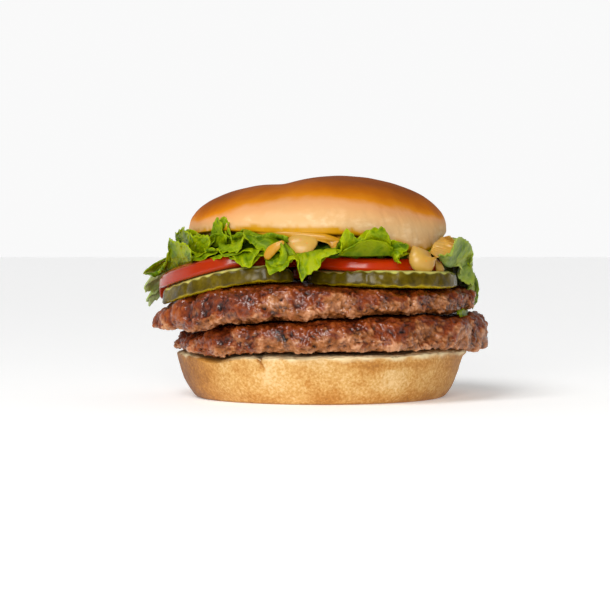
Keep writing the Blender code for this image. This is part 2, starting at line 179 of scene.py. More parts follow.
# %% Sizes and simple curves
CLEAR = 0.3
HEEL_HALF_WIDTH = 60.8
HEEL_HALF_DEPTH = 58.6
HEEL_HEIGHT = 20.6
HEEL_FOOT_SHARE = 0.83
HEEL_WIDEST_AT = 0.93
CROWN_HALF_WIDTH = 54.8
CROWN_HALF_DEPTH = 54.0
CROWN_MIDDLE_X = -1.3
CROWN_BASE = 68.4
CROWN_TOP = 92.2
CROWN_TILT = 1.9
LOWER_PATTY_MIDDLE_X = 4.3
LOWER_PATTY_HALF_WIDTH = 66.0
LOWER_PATTY_HALF_DEPTH = 62.6
UPPER_PATTY_MIDDLE_X = -3.0
UPPER_PATTY_HALF_WIDTH = 67.6
UPPER_PATTY_HALF_DEPTH = 62.0
PATTY_MEETING = 34.3
CRAG_SIZE = 11.0
CRAG_DEPTH = 3.2
UPPER_PATTY_TOP = 48.2
PICKLE_THICKNESS = 5.1
PICKLE_RIM_THICKNESS = 6.9
TOMATO_THICKNESS = 6.4
TOMATO_MEETING_X = -10.5
SAUCE_THICKNESS = 1.3
SAUCE_SHARE = 0.93


def smooth(low, high, value):
    """0 as far as low, 1 from high on, and an even curve between them. low may be the larger one."""
    share = np.clip((value - low) / (high - low), 0, 1)
    return share * share * (3 - 2 * share)


def hump(value, middle, width):
    return np.exp(-(((value - middle) / width) ** 2))


def turn_hump(angle, middle_deg, width_deg):
    """A hump on a circle, so that it goes on past a full turn."""
    away = (angle - math.radians(middle_deg) + math.pi) % (2 * math.pi) - math.pi
    return np.exp(-((away / math.radians(width_deg)) ** 2))


def wobble(angle, seed, amount, waves=(2, 3, 5, 7)):
    """A slow unevenness round a circle, with fewer and weaker quick waves."""
    draw = np.random.default_rng(seed)
    total = np.zeros_like(angle, dtype=float)
    for count in waves:
        turned = count * angle + draw.uniform(0, 2 * math.pi)
        total += np.cos(turned) * draw.uniform(0.5, 1.0) / math.sqrt(count)
    return amount * total


def ellipse(angle, half_width, half_depth):
    return 1 / np.sqrt((np.cos(angle) / half_width) ** 2 + (np.sin(angle) / half_depth) ** 2)


# %% [markdown]
# A burger's layers are pressed together, so each rests on the whole top of the one below. A soft body
# simulation could press them, but it would leave open where each layer ends up. So the heights are written
# down from the bottom up: where a patty sags past the heel, where the slices lie, and how the crown's
# underside waves.

# %% Heights at which the layers meet
def heel_top(x, y):
    front_left_dent = 2.6 * hump(x, -45, 9) * hump(y, -42, 14)
    return HEEL_HEIGHT + 0.012 * x + 0.35 * np.sin(0.11 * x) * np.cos(0.09 * y) - front_left_dent


def patty_meeting(x, y):
    left_sag = 2.6 * hump(x, -54, 13)
    right_sag = 2.2 * smooth(28, 56, x)
    ripples = 0.5 * np.sin(0.31 * x + 1.0)
    return PATTY_MEETING + 0.06 * x - right_sag + (ripples - left_sag) * smooth(46, 57, np.hypot(x, y))


def upper_patty_top(x, y):
    ridge = 1.2 * hump(x, -18, 17)
    left_fall = 0.0052 * np.maximum(0, -x - 22) ** 2
    back_fall = 0.0012 * np.maximum(0, y - 20) ** 2
    return UPPER_PATTY_TOP + ridge - 0.036 * np.maximum(x, 0) - left_fall - back_fall


def pickle_bottom(x, y):
    return upper_patty_top(x, y) + 2.3 * CLEAR + 0.5 * smooth(46, 58, np.hypot(x, y))


def pickle_top(x, y):
    at_rim = smooth(50, 57, np.hypot(x, y))
    return pickle_bottom(x, y) + PICKLE_THICKNESS + (PICKLE_RIM_THICKNESS - PICKLE_THICKNESS - 0.5) * at_rim


def tomato_bottom(x, y):
    return pickle_top(x, y) + 1.6 * CLEAR


def tomato_top(x, y):
    return tomato_bottom(x, y) + TOMATO_THICKNESS


def crown_base(x, y):
    angle = np.arctan2(y, x)
    out = smooth(34, 50, np.hypot(x, y))
    left_lift = 2.6 * turn_hump(angle, 225, 30) - 1.6 * turn_hump(angle, 178, 22)
    right_dip = 5.2 * turn_hump(angle, 318, 23)
    back_wave = 1.2 * turn_hump(angle, 60, 30) - 0.9 * turn_hump(angle, 120, 25)
    return CROWN_BASE + out * (left_lift - right_dip - back_wave)


def crown_reach(angle):
    even = ellipse(angle, CROWN_HALF_WIDTH, CROWN_HALF_DEPTH)
    return even + wobble(angle, 5, 0.35, (3, 4)) - 1.2 * turn_hump(angle, 90, 35)


middle_heights = [round(float(level(0.0, 0.0)), 1) for level in (heel_top, patty_meeting, crown_base)]
print("heights over the middle:", middle_heights)

# %% [markdown]
# A round piece of food could be a sphere pushed flat and sculpted. Here it is turned instead: rings of
# points between an upper and a lower surface, closer together at the rim, where they show, than under the
# next layer. Each point remembers how far out and how high it lies, which later tells skin from flesh.


# %% Round bodies
def new_piece(name, points, faces):
    """A mesh object at the world's origin, smooth shaded. The points are in millimetres."""
    mesh = bpy.data.meshes.new(name)
    mesh.from_pydata((np.asarray(points) * MM).tolist(), [], faces)
    mesh.shade_smooth()
    made = bpy.data.objects.new(name, mesh)
    bpy.context.scene.collection.objects.link(made)
    return made


def places(piece):
    """The points of a piece, in millimetres."""
    flat = np.empty(len(piece.data.vertices) * 3)
    piece.data.vertices.foreach_get("co", flat)
    return flat.reshape(-1, 3) / MM


def normals(piece):
    flat = np.empty(len(piece.data.vertices) * 3)
    piece.data.vertex_normals.foreach_get("vector", flat)
    return flat.reshape(-1, 3)


def move_points(piece, points):
    piece.data.vertices.foreach_set("co", (points * MM).ravel())
    piece.data.update()


def paint(piece, name, values, kind="FLOAT", part="value"):
    """Keeps a number, or a place, on each point, for the material to read."""
    made = piece.data.attributes.new(name, kind, "POINT")
    made.data.foreach_set(part, np.asarray(values, dtype=np.float32).ravel())


def lumps(points, size, seed, octaves=1):
    """Noise between about -1 and 1 with lumps of size millimetres, and finer ones on them at more octaves."""
    start = Vector((seed, 0, 0))
    if octaves == 1:
        return np.array([noise.noise(Vector(point) / size + start) for point in points])
    return np.array([noise.fractal(Vector(point) / size + start, 0.7, 2.1, octaves) for point in points])


def grains(points, size, seed):
    """Rounded grains of size millimetres: 1 at the middle of each and 0 in the cracks between them."""
    start = Vector((seed, 0, 0))
    found = [noise.voronoi(Vector(point) / size + start)[0][:2] for point in points]
    near, next_near = np.array(found).T
    return np.clip((next_near - near) * 1.6, 0, 1)


def ring_faces(segments, rings):
    """Faces of a round body: a pole, then rings of the same number of points, then the other pole."""
    i = np.arange(segments)
    j = (i + 1) % segments
    last = 1 + segments * rings
    first_cap = np.stack([np.zeros_like(i), 1 + i, 1 + j], axis=1)
    last_cap = np.stack([np.full_like(i, last), last - segments + j, last - segments + i], axis=1)
    start = 1 + segments * np.arange(rings - 1)[:, None]
    sides = np.stack([start + i, start + segments + i, start + segments + j, start + j], axis=-1)
    return first_cap.tolist() + last_cap.tolist() + sides.reshape(-1, 4).tolist()


def ring_leans(rings, radius, half_height, square, hidden_top=0.12, hidden_bottom=0.12):
    """Where on the profile the rings lie. hidden_top and hidden_bottom say how many of them the parts inside
    the rim get, for their size."""
    lean = np.linspace(math.pi / 2, -math.pi / 2, 6001)[1:-1]
    share = np.cos(lean) ** (2 / square)
    height = np.sign(lean) * np.abs(np.sin(lean)) ** (2 / square)
    step = np.hypot(np.diff(share) * radius, np.diff(height) * half_height)
    inside = np.where(lean[1:] > 0, hidden_top, hidden_bottom)
    along = np.concatenate([[0], np.cumsum(step * np.where(share[1:] > 0.82, 1.0, inside))])
    return np.interp(np.linspace(0, along[-1], rings), along, lean)


def slab(name, middle, reach, top, bottom, segments, leans, level, bulge):
    """A round flat body between two heights. level is how high its widest line is, and bulge how square its
    shoulder and its foot are, from 2, which is round, upwards. Returns the piece, and of each point how far
    out it lies as a share of the reach and how high, from -1 to 1."""
    angle = np.linspace(0, 2 * math.pi, segments, endpoint=False)
    out = reach(angle)
    level = level(angle) if callable(level) else np.full(segments, level)
    shoulder = bulge[0](angle) if callable(bulge[0]) else np.full(segments, bulge[0])
    lean = np.concatenate([[math.pi / 2], leans, [-math.pi / 2]])[:, None]
    square = np.where(lean > 0, shoulder, bulge[1])
    share = np.maximum(np.cos(lean), 0) ** (2 / square)
    height = np.sign(lean) * np.abs(np.sin(lean)) ** (2 / square)
    x = middle[0] + share * out * np.cos(angle)
    y = middle[1] + share * out * np.sin(angle)
    high, low = top(x, y), bottom(x, y)
    widest = low + (high - low) * level
    z = widest + np.where(height > 0, high - widest, widest - low) * height
    keep = np.ones(x.shape, bool)
    keep[0, 1:] = keep[-1, 1:] = False
    points = np.stack([x, y, z], axis=-1)[keep]
    return new_piece(name, points, ring_faces(segments, len(leans))), share[keep], height[keep]


def crags(points, strength, size, amount, seed):
    """Moves the points sideways by a noise of lumps that are size millimetres across, as in the solids."""
    shift = np.zeros_like(points)
    for axis in (0, 1):
        shift[:, axis] = lumps(points, size, seed + 20 * axis)
    return points + amount * strength[:, None] * shift


def swell(piece, amounts):
    """Moves each point along its normal by so many millimetres."""
    move_points(piece, places(piece) + normals(piece) * np.asarray(amounts)[:, None])


def seat(piece, node):
    """The piece rides on the one body, replaces a solid if it has one, and prints how many triangles it has.
    """
    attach(piece, "root")
    if node:
        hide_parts(node)
    faces = sum(len(face.vertices) - 2 for face in piece.data.polygons)
    print(piece.name, "for", node or "itself", "with", faces, "triangles")


# %% [markdown]
# The heel is the lower half of the bun: a thin, matt, golden crust with a fine open grain, baked against a
# tray, so that its foot is flat. Its top edge is where the knife tore the crumb. A turned profile gives the
# foot, the leaning side and the rounded edge, and noise gives the dents and the ragged rim.

# %% Heel
HEEL_SEGMENTS = 520
HEEL_GRAIN = 1.1

heel_angle = np.linspace(0, 2 * math.pi, HEEL_SEGMENTS, endpoint=False)
heel_widest = ellipse(heel_angle, HEEL_HALF_WIDTH, HEEL_HALF_DEPTH) + wobble(heel_angle, 11, 0.5)
climb = np.linspace(0, 1, 48)
edge_turn = np.linspace(0, math.pi / 2, 12)[1:]
heel_profile = [(share, 0.0) for share in np.linspace(0.1, 0.97, 8) * HEEL_FOOT_SHARE]
heel_flare = 1 - HEEL_FOOT_SHARE
heel_profile += [(HEEL_FOOT_SHARE + heel_flare * up**0.77, HEEL_WIDEST_AT * up**1.7) for up in climb]
heel_profile += [(0.94 + 0.06 * math.cos(turn), HEEL_WIDEST_AT + 0.07 * math.sin(turn)) for turn in edge_turn]
heel_profile += [(share, 1.0) for share in (0.9, 0.8, 0.5, 0.2)]
heel_share, heel_up = (np.array(column)[:, None] for column in zip(*heel_profile))
heel_x = heel_share * heel_widest * np.cos(heel_angle)
heel_y = heel_share * heel_widest * np.sin(heel_angle)
heel_rings = np.stack([heel_x, heel_y, heel_up * heel_top(heel_x, heel_y)], axis=-1).reshape(-1, 3)
heel_points = np.concatenate([[[0, 0, 0]], heel_rings, [[0, 0, float(heel_top(0.0, 0.0))]]])
heel_faces = [tuple(reversed(face)) for face in ring_faces(HEEL_SEGMENTS, len(heel_profile))]
heel = new_piece("heel_of_bun", heel_points, heel_faces)
heel_up = heel_points[:, 2] / HEEL_HEIGHT
heel_out = np.hypot(heel_points[:, 0], heel_points[:, 1])
on_side = smooth(0.02, 0.12, heel_up) * smooth(48, 54, heel_out)
dents = 0.35 * lumps(heel_points, 14, 3, 3) - 0.3
pores = 0.08 * lumps(heel_points, HEEL_GRAIN, 8)
torn = -0.9 * smooth(0.8, 1.0, heel_up) * np.abs(lumps(heel_points, 3.2, 5, 3))
crack_line = heel_points[:, 0] + 1.2 * lumps(heel_points, 3, 7, 2)
crack = hump(crack_line, -24.5, 0.9) * smooth(12, 17, heel_points[:, 2])
nub = hump(heel_points[:, 0], 60, 4) * hump(heel_points[:, 1], -10, 8) * hump(heel_up, 0.93, 0.07)
front = smooth(0, -30, heel_points[:, 1])
swell(heel, on_side * (dents + pores + torn - 1.8 * front * crack + 1.5 * nub))
# Painted shade and a browner crust: the ends darken where they turn away from the light, the left end more.
heel_ends = smooth(36, 60, np.abs(heel_points[:, 0])) * np.where(heel_points[:, 0] < 0, 0.46, 0.2)
singed = 0.22 * hump(heel_points[:, 0], 30, 17) * hump(heel_up, 0.78, 0.1)
singed += 0.2 * hump(heel_points[:, 0], -51, 6) * hump(heel_up, 0.45, 0.25)
toasted = heel_ends + 0.12 * smooth(0.35, 0.0, heel_up) + 0.12 * lumps(heel_points, 14, 9, 3)
# The crack is painted darker, as shade in it.
paint(heel, "toasted", toasted + front * singed + 0.5 * front * crack)
paint(heel, "cut_edge", smooth(0.86, 0.98, heel_up + 0.07 * lumps(heel_points, 6, 6, 2)))
seat(heel, "heel")

# %% [markdown]
# A patty is ground beef pressed flat by hand and seared. Its rim is a cliff of short strands and grains a
# few millimetres across, browned on the outside, with dark cracks between them. Sculpting it by hand would
# take days. Here smooth noise gives the lumps, ridges and pits, and cells of noise give the strands and
# grains. All of it is pushed along the normals.

# %% Patties
PATTY_SEGMENTS = 820
PATTY_RINGS = 92
STRAND_SIZE = 2.8
STRAND_LEAN = np.array([[0.75, 0.0, 0.5], [0.0, 0.75, 0.2], [-0.6, 0.2, 1.3]])
GRAIN_SIZE = 1.5
LUMP_SIZE = 7.0
PIT_SIZE = 2.8
RIDGE_SIZE = 3.6


def lower_patty_reach(angle):
    even = ellipse(angle, LOWER_PATTY_HALF_WIDTH, LOWER_PATTY_HALF_DEPTH)
    return even + wobble(angle, 21, 0.7, (3, 5, 8)) + 1.2 * turn_hump(angle, 222, 10)


def patty_seam(x, y):
    """The top of the lower patty and the underside of the upper one, which lie on each other."""
    return patty_meeting(x, y) + CLEAR


def lower_patty_bottom(x, y):
    past_heel = smooth(1.015, 1.09, np.hypot(x / HEEL_HALF_WIDTH, y / HEEL_HALF_DEPTH))
    angle = np.arctan2(y, x)
    sag = 1.0 + 3.2 * turn_hump(angle, 222, 13) + 2.6 * turn_hump(angle, 355, 22)
    sag = sag + 2.0 * turn_hump(angle, 178, 20)
    return heel_top(x, y) + 1.6 * CLEAR - past_heel * sag


def lower_patty_level(angle):
    return 0.42 - 0.27 * turn_hump(angle, 180, 28) - 0.1 * turn_hump(angle, 0, 30)


def upper_patty_reach(angle):
    even = ellipse(angle, UPPER_PATTY_HALF_WIDTH, UPPER_PATTY_HALF_DEPTH)
    return even + wobble(angle, 31, 0.7, (3, 5, 8)) + 0.8 * turn_hump(angle, 180, 9)


def upper_patty_level(angle):
    return 0.45 - 0.32 * turn_hump(angle, 180, 30)


def patty_shoulder(angle):
    return 6.0 - 3.4 * turn_hump(angle, 180, 26)


def make_patty(name, node, middle_x, reach, top, bottom, level, foot, seed, swelling):
    """A patty with a rim of lumps, strands, grains, ridges and pits. swelling raises its top at the left."""
    leans = ring_leans(PATTY_RINGS, 64, 7, 6)
    piece, share, height = slab(
        name, (middle_x, 0.0), reach, top, bottom, PATTY_SEGMENTS, leans, level, (patty_shoulder, foot)
    )
    strength = smooth(0.7, 0.97, share)
    move_points(piece, crags(places(piece), strength, CRAG_SIZE, CRAG_DEPTH, seed))
    points = places(piece)
    bent = points + 1.6 * lumps(points, 3.4, seed + 3, 2)[:, None] * (0.6, -0.5, 1.0)
    strand = grains(bent @ STRAND_LEAN, STRAND_SIZE, seed + 1)
    grain = grains(bent, GRAIN_SIZE, seed + 6)
    lump = lumps(points, LUMP_SIZE, seed + 4, 3)
    pit = smooth(0.45, 0.7, lumps(points, PIT_SIZE, seed + 7, 2))
    ridge = 1 - 2 * np.abs(lumps(bent @ STRAND_LEAN, RIDGE_SIZE, seed + 8, 3))
    relief = 1.0 * lump + 0.7 * (strand - 0.5) + 0.36 * (grain - 0.5) + 0.35 * ridge - 0.75 * pit
    relief += 0.3 * lumps(points, 1.0, seed + 2)
    swell(piece, smooth(0.8, 0.95, share) * relief)
    points = places(piece)
    upper_rim = smooth(0.0, 0.5, height) * smooth(0.55, 0.8, share)
    points[:, 2] += swelling * smooth(-28, -46, points[:, 0]) * upper_rim
    move_points(piece, points)
    # Painted shade and light: pits and cracks are noted low and drawn nearly black, lumps high and drawn
    # lighter.
    paint(piece, "raised", 0.5 + 0.25 * relief)
    paint(piece, "basted", 0.16 * smooth(10, -50, points[:, 0]) + 0.14 * smooth(-0.1, 0.8, height))
    paint(piece, "faces_up", normals(piece)[:, 2])
    seat(piece, node)
    return piece


lower_patty = make_patty(
    "lower_seared_patty", "patty_lower", LOWER_PATTY_MIDDLE_X, lower_patty_reach, patty_seam,
    lower_patty_bottom, lower_patty_level, 5.0, 3.0, 0.0,
)
upper_patty = make_patty(
    "upper_seared_patty", "patty_upper", UPPER_PATTY_MIDDLE_X, upper_patty_reach, upper_patty_top,
    patty_seam, upper_patty_level, 5.6, 9.0, 1.6,
)

# %% [markdown]
# The pickles are slices cut lengthwise from a pickled cucumber with a wavy knife. The rim is its dark olive
# skin, the cut faces are pale flesh, and the waves of the knife show as scallops along the rim's edges. The
# slices bend over the patty, which the shared heights give by themselves.

# %% Pickles
def lean_rim(points, middle, share, height, amount):
    """Sets the lower part of a rim further out and the upper part further in, as a slice bends on its bed."""
    outward = points[:, :2] - middle
    outward = outward / np.maximum(np.hypot(*outward.T), 1e-6)[:, None]
    points[:, :2] -= outward * (amount * height * smooth(0.85, 1.0, share))[:, None]
    return points


PICKLE_SEGMENTS = 300
KNIFE_WAVE = 5.4
KNIFE_DEPTH = 0.6
SLICE_SINK = 0.9
PICKLE_LEAN = 0.5
# side, middle, half length, half width, turn in degrees, seed
PICKLES = [
    ("front_left", (-38.5, -28.5), 32.0, 17.5, -40, 41),
    ("front_right", (25.5, -33.5), 30.5, 20.0, 12, 42),
    ("back_left", (-22.0, 32.0), 29.0, 18.0, 18, 43),
    ("back_right", (34.0, 24.0), 24.0, 19.0, -52, 44),
]


def pickle_seat(x, y):
    return pickle_bottom(x, y) - SLICE_SINK


def make_pickle(side, middle, half_length, half_width, turn_deg, seed):
    def reach(angle):
        own = angle - math.radians(turn_deg)
        knobs = 0.55 * np.abs(np.sin(6.5 * own + seed)) + wobble(own, seed, 0.35, (4, 7))
        return ellipse(own, half_length, half_width) + knobs

    leans = ring_leans(34, 26, 3, 7)
    piece, share, height = slab(
        "pickle_slice_" + side, middle, reach, pickle_top, pickle_seat, PICKLE_SEGMENTS, leans, 0.5, (7, 7)
    )
    points = places(piece)
    knife_turn = math.radians(turn_deg / 3)
    along = points[:, 0] * math.cos(knife_turn) + points[:, 1] * math.sin(knife_turn)
    wave = np.sin(2 * math.pi * (along + 1.6 * lumps(points, 9, seed)) / KNIFE_WAVE)
    wave = wave * (0.7 + 0.6 * lumps(points, 13, seed + 3))
    at_rim = smooth(0.86, 0.98, share)
    points[:, 2] += KNIFE_DEPTH * wave * at_rim * np.where(height > 0, height, 0.5 * height)
    move_points(piece, lean_rim(points, middle, share, height, PICKLE_LEAN))
    swell(piece, at_rim * (0.3 * lumps(points, 4.0, seed + 5, 2) + 0.07 * wave))
    edge = np.where(height > 0, height, -(1.14 + 0.22 * lumps(points, 12, seed + 6)) * height)
    cut_face = smooth(0.72, 0.86, edge + 0.1 * lumps(points, 3, seed))
    paint(piece, "skin", smooth(0.93, 0.985, share) * (1 - cut_face))
    paint(piece, "height", height)
    seat(piece, "pickle_" + side)
    return piece


pickles = [make_pickle(*row) for row in PICKLES]

# %% [markdown]
# The tomato slices are ripe and thick, with a taut glossy skin round wet flesh. They lean on the pickles,
# bend down at the left end, and sink a little between the two pickles in front. They press flat against
# each other.

# %% Tomatoes
TOMATO_SEGMENTS = 320
TOMATO_OVERLAP = 0.6
TOMATO_LEAN = 0.6
# name, middle, half width, half depth, side, seed
TOMATOES = [("left", (-34.5, -2.0), 33.5, 43.0, -1, 51), ("right", (18.0, -3.0), 34.0, 41.5, 1, 52)]


def make_tomato(name, middle, half_width, half_depth, side, seed):
    def reach(angle):
        even = ellipse(angle, half_width, half_depth) + wobble(angle, seed, 0.3, (3, 5))
        towards = -side * np.cos(angle)
        room = side * (middle[0] - TOMATO_MEETING_X) + TOMATO_OVERLAP
        return np.where(towards > 0.05, np.minimum(even, room / np.maximum(towards, 0.05)), even)

    def droop(x, y):
        return smooth(-56, -68, x) * smooth(-4, 3, y) * smooth(24, 14, y)

    def sag(x, y):
        return 5.2 * smooth(-3.5, -8, x) * smooth(-13, -21, y) if side > 0 else 0.0

    def bottom(x, y):
        return tomato_bottom(x, y) - SLICE_SINK - 5.6 * droop(x, y) - sag(x, y)

    def top(x, y):
        return tomato_top(x, y) - 2.0 * droop(x, y) - sag(x, y)

    leans = ring_leans(34, 36, 3.2, 6)
    piece, share, height = slab(
        "tomato_slice_" + name, middle, reach, top, bottom, TOMATO_SEGMENTS, leans, 0.5, (6, 6)
    )
    move_points(piece, lean_rim(places(piece), middle, share, height, TOMATO_LEAN))
    points = places(piece)
    swell(piece, smooth(0.8, 0.95, share) * 0.15 * lumps(points, 9.0, seed, 2))
    paint(piece, "skin", smooth(0.9, 0.96, share) * (1 - smooth(0.9, 0.97, np.abs(height))))
    # The slice at the left is marked to be drawn darker than the other.
    paint(piece, "ripe", np.full(len(points), 1.0 if side < 0 else 0.0))
    seat(piece, "tomato_" + name)
    return piece


tomatoes = [make_tomato(*row) for row in TOMATOES]

# %% [markdown]
# The lettuce is a frilled green leaf, torn in pieces. A leaf could be a cloth simulation, but its frills
# are grown, not draped, so each leaf is one sheet between two curves: its neck, where it leaves the stack,
# and its edge, which runs through a few tips. The edge is longer than the neck, which is what makes a
# frill. A second, finer ruffle, blisters and a nibbled edge come on top, and the sheet gets a thickness of
# half a millimetre.

# %% Leaf helpers
LEAF_THICKNESS = 0.55
LEAF_HEART = 16.0
LEAF_NECK = 46.0
LEAF_KNEE = 71.5
LEAF_PLEAT = 1.0
TIP_STEPS = 10
HEART_ROWS = 8
FRILL_ROWS = 28
RUFFLE_LENGTH = 8.0
BLISTER_SIZE = 4.0
BLISTER_DEPTH = 0.22


def through(knots, steps):
    """Points on a smooth curve through the knots, steps to each stretch between two of them."""
    knots = np.asarray(knots, float)
    held = np.concatenate([[2 * knots[0] - knots[1]], knots, [2 * knots[-1] - knots[-2]]])
    made = []
    for i in range(len(knots) - 1):
        a, b, c, d = held[i : i + 4]
        for t in np.linspace(0, 1, steps, endpoint=False):
            bend = (2 * a - 5 * b + 4 * c - d) * t**2 + (3 * b - a - 3 * c + d) * t**3
            made.append(0.5 * (2 * b + (c - a) * t + bend))
    return np.array([*made, knots[-1]])


def upright(angle, out, height):
    """Points at an angle round the stack, so far out and so high. height may be a function of the place."""
    x, y = out * np.cos(angle), out * np.sin(angle)
    return np.stack([x, y, height(x, y) if callable(height) else height], axis=-1)


def distances(line):
    """How far along a line each of its points is."""
    return np.concatenate([[0], np.cumsum(np.linalg.norm(np.diff(line, axis=0), axis=1))])


def nibbles(along, size, seed):
    """How uneven a torn edge is, at distances along it."""
    return lumps(np.stack([along, 0 * along, 0 * along], axis=-1), size, seed, 3)


def leaf_sheet(tips, heart_level, neck_level, arch, lean, pleat, seed):
    """The middle surface of a leaf as a grid of points, and how far along its edge and out each one is."""
    rim = through(tips, TIP_STEPS)
    rim[:, 1] -= pleat * np.abs(np.sin(math.pi * np.arange(len(rim)) / TIP_STEPS))
    root = np.radians(np.linspace(tips[0][0], tips[-1][0], len(rim)))
    heart = upright(root, LEAF_HEART, heart_level)
    foot = upright(root, LEAF_NECK, neck_level)
    tip_angle = np.radians(rim[:, 0])
    tip = upright(tip_angle, rim[:, 1], rim[:, 2])
    rise = tip[:, 2] - foot[:, 2]
    knee_angle = root + lean * (tip_angle - root)
    knee_out = np.minimum(rim[:, 1] + np.where(rise > 0, 1.5, -0.5), LEAF_KNEE)
    knee_height = foot[:, 2] + 0.15 * rise + arch * np.sin(math.pi * np.linspace(0, 1, len(rim)))
    knee = upright(knee_angle, knee_out, knee_height)
    along = distances(tip)
    nibble = 0.035 * nibbles(along, 2.6, seed) - 0.02
    grid, out = [], []
    for t in np.linspace(0, 1, HEART_ROWS, endpoint=False):
        grid.append((1 - t) * heart + t * foot)
        out.append(np.full(len(rim), t - 1))
    for t in np.linspace(0, 1, FRILL_ROWS + 1):
        s = (t * (1 + nibble * smooth(0.5, 1, t)))[:, None]
        grid.append((1 - s) ** 2 * foot + 2 * s * (1 - s) * knee + s**2 * tip)
        out.append(np.full(len(rim), t))
    return np.array(grid), np.broadcast_to(along, (len(grid), len(rim))), np.array(out)


def sheet_normals(sheet):
    normal = np.cross(np.gradient(sheet, axis=0), np.gradient(sheet, axis=1))
    return normal / np.maximum(np.linalg.norm(normal, axis=-1, keepdims=True), 1e-9)


def leaf_solid(name, sheet, thickness):
    """A thin closed body round a grid of points."""
    rows, columns = sheet.shape[:2]
    half = sheet_normals(sheet) * thickness[..., None] / 2
    points = np.concatenate([(sheet + half).reshape(-1, 3), (sheet - half).reshape(-1, 3)])
    count = rows * columns
    a = (np.arange(rows - 1)[:, None] * columns + np.arange(columns - 1)).ravel()
    upper = np.stack([a, a + columns, a + columns + 1, a + 1], axis=1)
    border = list(range(columns))
    border += [i * columns + columns - 1 for i in range(1, rows)]
    border += [(rows - 1) * columns + j for j in range(columns - 2, -1, -1)]
    border += [i * columns for i in range(rows - 2, 0, -1)]
    rim = [(p, q, count + q, count + p) for p, q in zip(border, border[1:] + border[:1])]
    return new_piece(name, points, upper.tolist() + (upper[:, ::-1] + count).tolist() + rim)


# %% [markdown]
# A leaf's neck is held between the tomato and the crown, and only its frill comes out. The tips of the
# frills were read off the photograph one by one, as turns round the stack, distances and heights, because
# no rule says where a leaf folds. A leaf needs room where a drip of sauce comes down before it.

# %% Where the leaves lie
def drip_room(x, y):
    return 3.0 * turn_hump(np.arctan2(y, x), 262, 10) * smooth(36, 45, np.hypot(x, y))


def on_tomato(x, y):
    return tomato_top(x, y) + 1.2 - drip_room(x, y)


def over_tomato(x, y):
    return tomato_top(x, y) + 2.0 - drip_room(x, y)


def under_crown(x, y):
    return crown_base(x, y) - SAUCE_THICKNESS - 2.0


# The tips of the frills, each as an angle in degrees, how far out it is, and its height
LEFT_UPPER_TIPS = [
    (178, 66.0, 56.5), (186, 66.0, 63.5), (192, 65.0, 67.0), (198, 62.0, 71.0), (206, 60.5, 69.5),
    (214, 63.0, 67.5), (220, 65.0, 61.6), (224, 60.0, 75.8), (229, 60.0, 72.0), (234, 64.5, 61.8),
    (239, 59.5, 71.0), (246, 63.0, 62.5), (251.5, 59.0, 65.0),
]
LEFT_LOWER_TIPS = [
    (188, 64.5, 57.0), (197, 63.0, 64.0), (206, 64.0, 58.5), (214, 66.0, 58.0), (220, 65.5, 58.8),
    (227, 62.0, 63.0), (234, 63.5, 60.0), (242, 65.5, 55.6), (246, 60.5, 61.0), (250, 65.0, 53.8),
    (254, 64.0, 54.5), (256, 59.0, 60.0),
]
FRONT_TIPS = [
    (259, 58.5, 59.5), (262, 61.5, 51.2), (266, 61.0, 54.5), (270, 59.5, 57.5), (276, 58.5, 64.0),
    (280.5, 59.5, 71.2), (285, 58.0, 67.5), (290, 60.5, 71.5), (295, 60.5, 71.5), (300, 60.5, 66.5),
    (305, 62.5, 64.0), (302.5, 62.5, 57.0),
]
RIGHT_TIPS = [
    (333, 59.0, 62.0), (336, 61.5, 56.5), (341, 64.0, 53.5), (346, 63.5, 48.5), (351, 66.5, 45.5),
    (357, 66.0, 41.0), (364, 68.0, 36.5), (371, 68.0, 38.0), (378, 69.0, 41.5), (387, 66.5, 46.5),
    (395, 67.0, 53.0), (403, 61.0, 61.0),
]
LEFT_BACK_TIPS = [
    (166, 68.0, 57.0), (175, 75.5, 51.4), (168, 71.0, 49.5), (173, 75.5, 45.4), (171.5, 75.0, 42.8),
    (165, 71.0, 44.0), (169.5, 76.0, 39.3), (167.5, 75.0, 37.3), (161, 71.0, 42.5), (154, 69.0, 52.5),
    (147, 63.5, 64.5), (138, 60.5, 68.0),
]
BACK_TIPS = [
    (45, 60.0, 58.0), (53, 60.5, 66.0), (60, 61.0, 70.5), (67, 64.5, 62.0), (74, 63.5, 55.5),
    (81, 60.0, 61.0), (89, 61.0, 69.5), (97, 64.0, 64.0), (104, 64.5, 56.0), (111, 60.5, 58.5),
    (119, 60.5, 67.5), (127, 63.5, 64.0), (135, 62.5, 56.5),
]
# name, tips, height at the heart, height at the neck, arch, lean, seed
LEAVES = [
    ("left_upper", LEFT_UPPER_TIPS, under_crown, under_crown, 0.0, 0.7, 61),
    ("left_lower", LEFT_LOWER_TIPS, over_tomato, over_tomato, 1.6, 0.7, 62),
    ("front", FRONT_TIPS, under_crown, on_tomato, 0.0, 0.7, 63),
    ("right", RIGHT_TIPS, under_crown, on_tomato, 21.0, 0.7, 64),
    ("left_back", LEFT_BACK_TIPS, under_crown, over_tomato, 5.5, 0.15, 65),
    ("back", BACK_TIPS, under_crown, on_tomato, 0.0, 0.7, 66),
]


# %% [markdown]
# The leaves that show are only the outer ones. Behind them a burger holds more of the same leaf, crumpled
# tight under the bun. Smaller folds stand behind the outer frills and close the view between them, and a
# thick crumpled layer fills the middle.

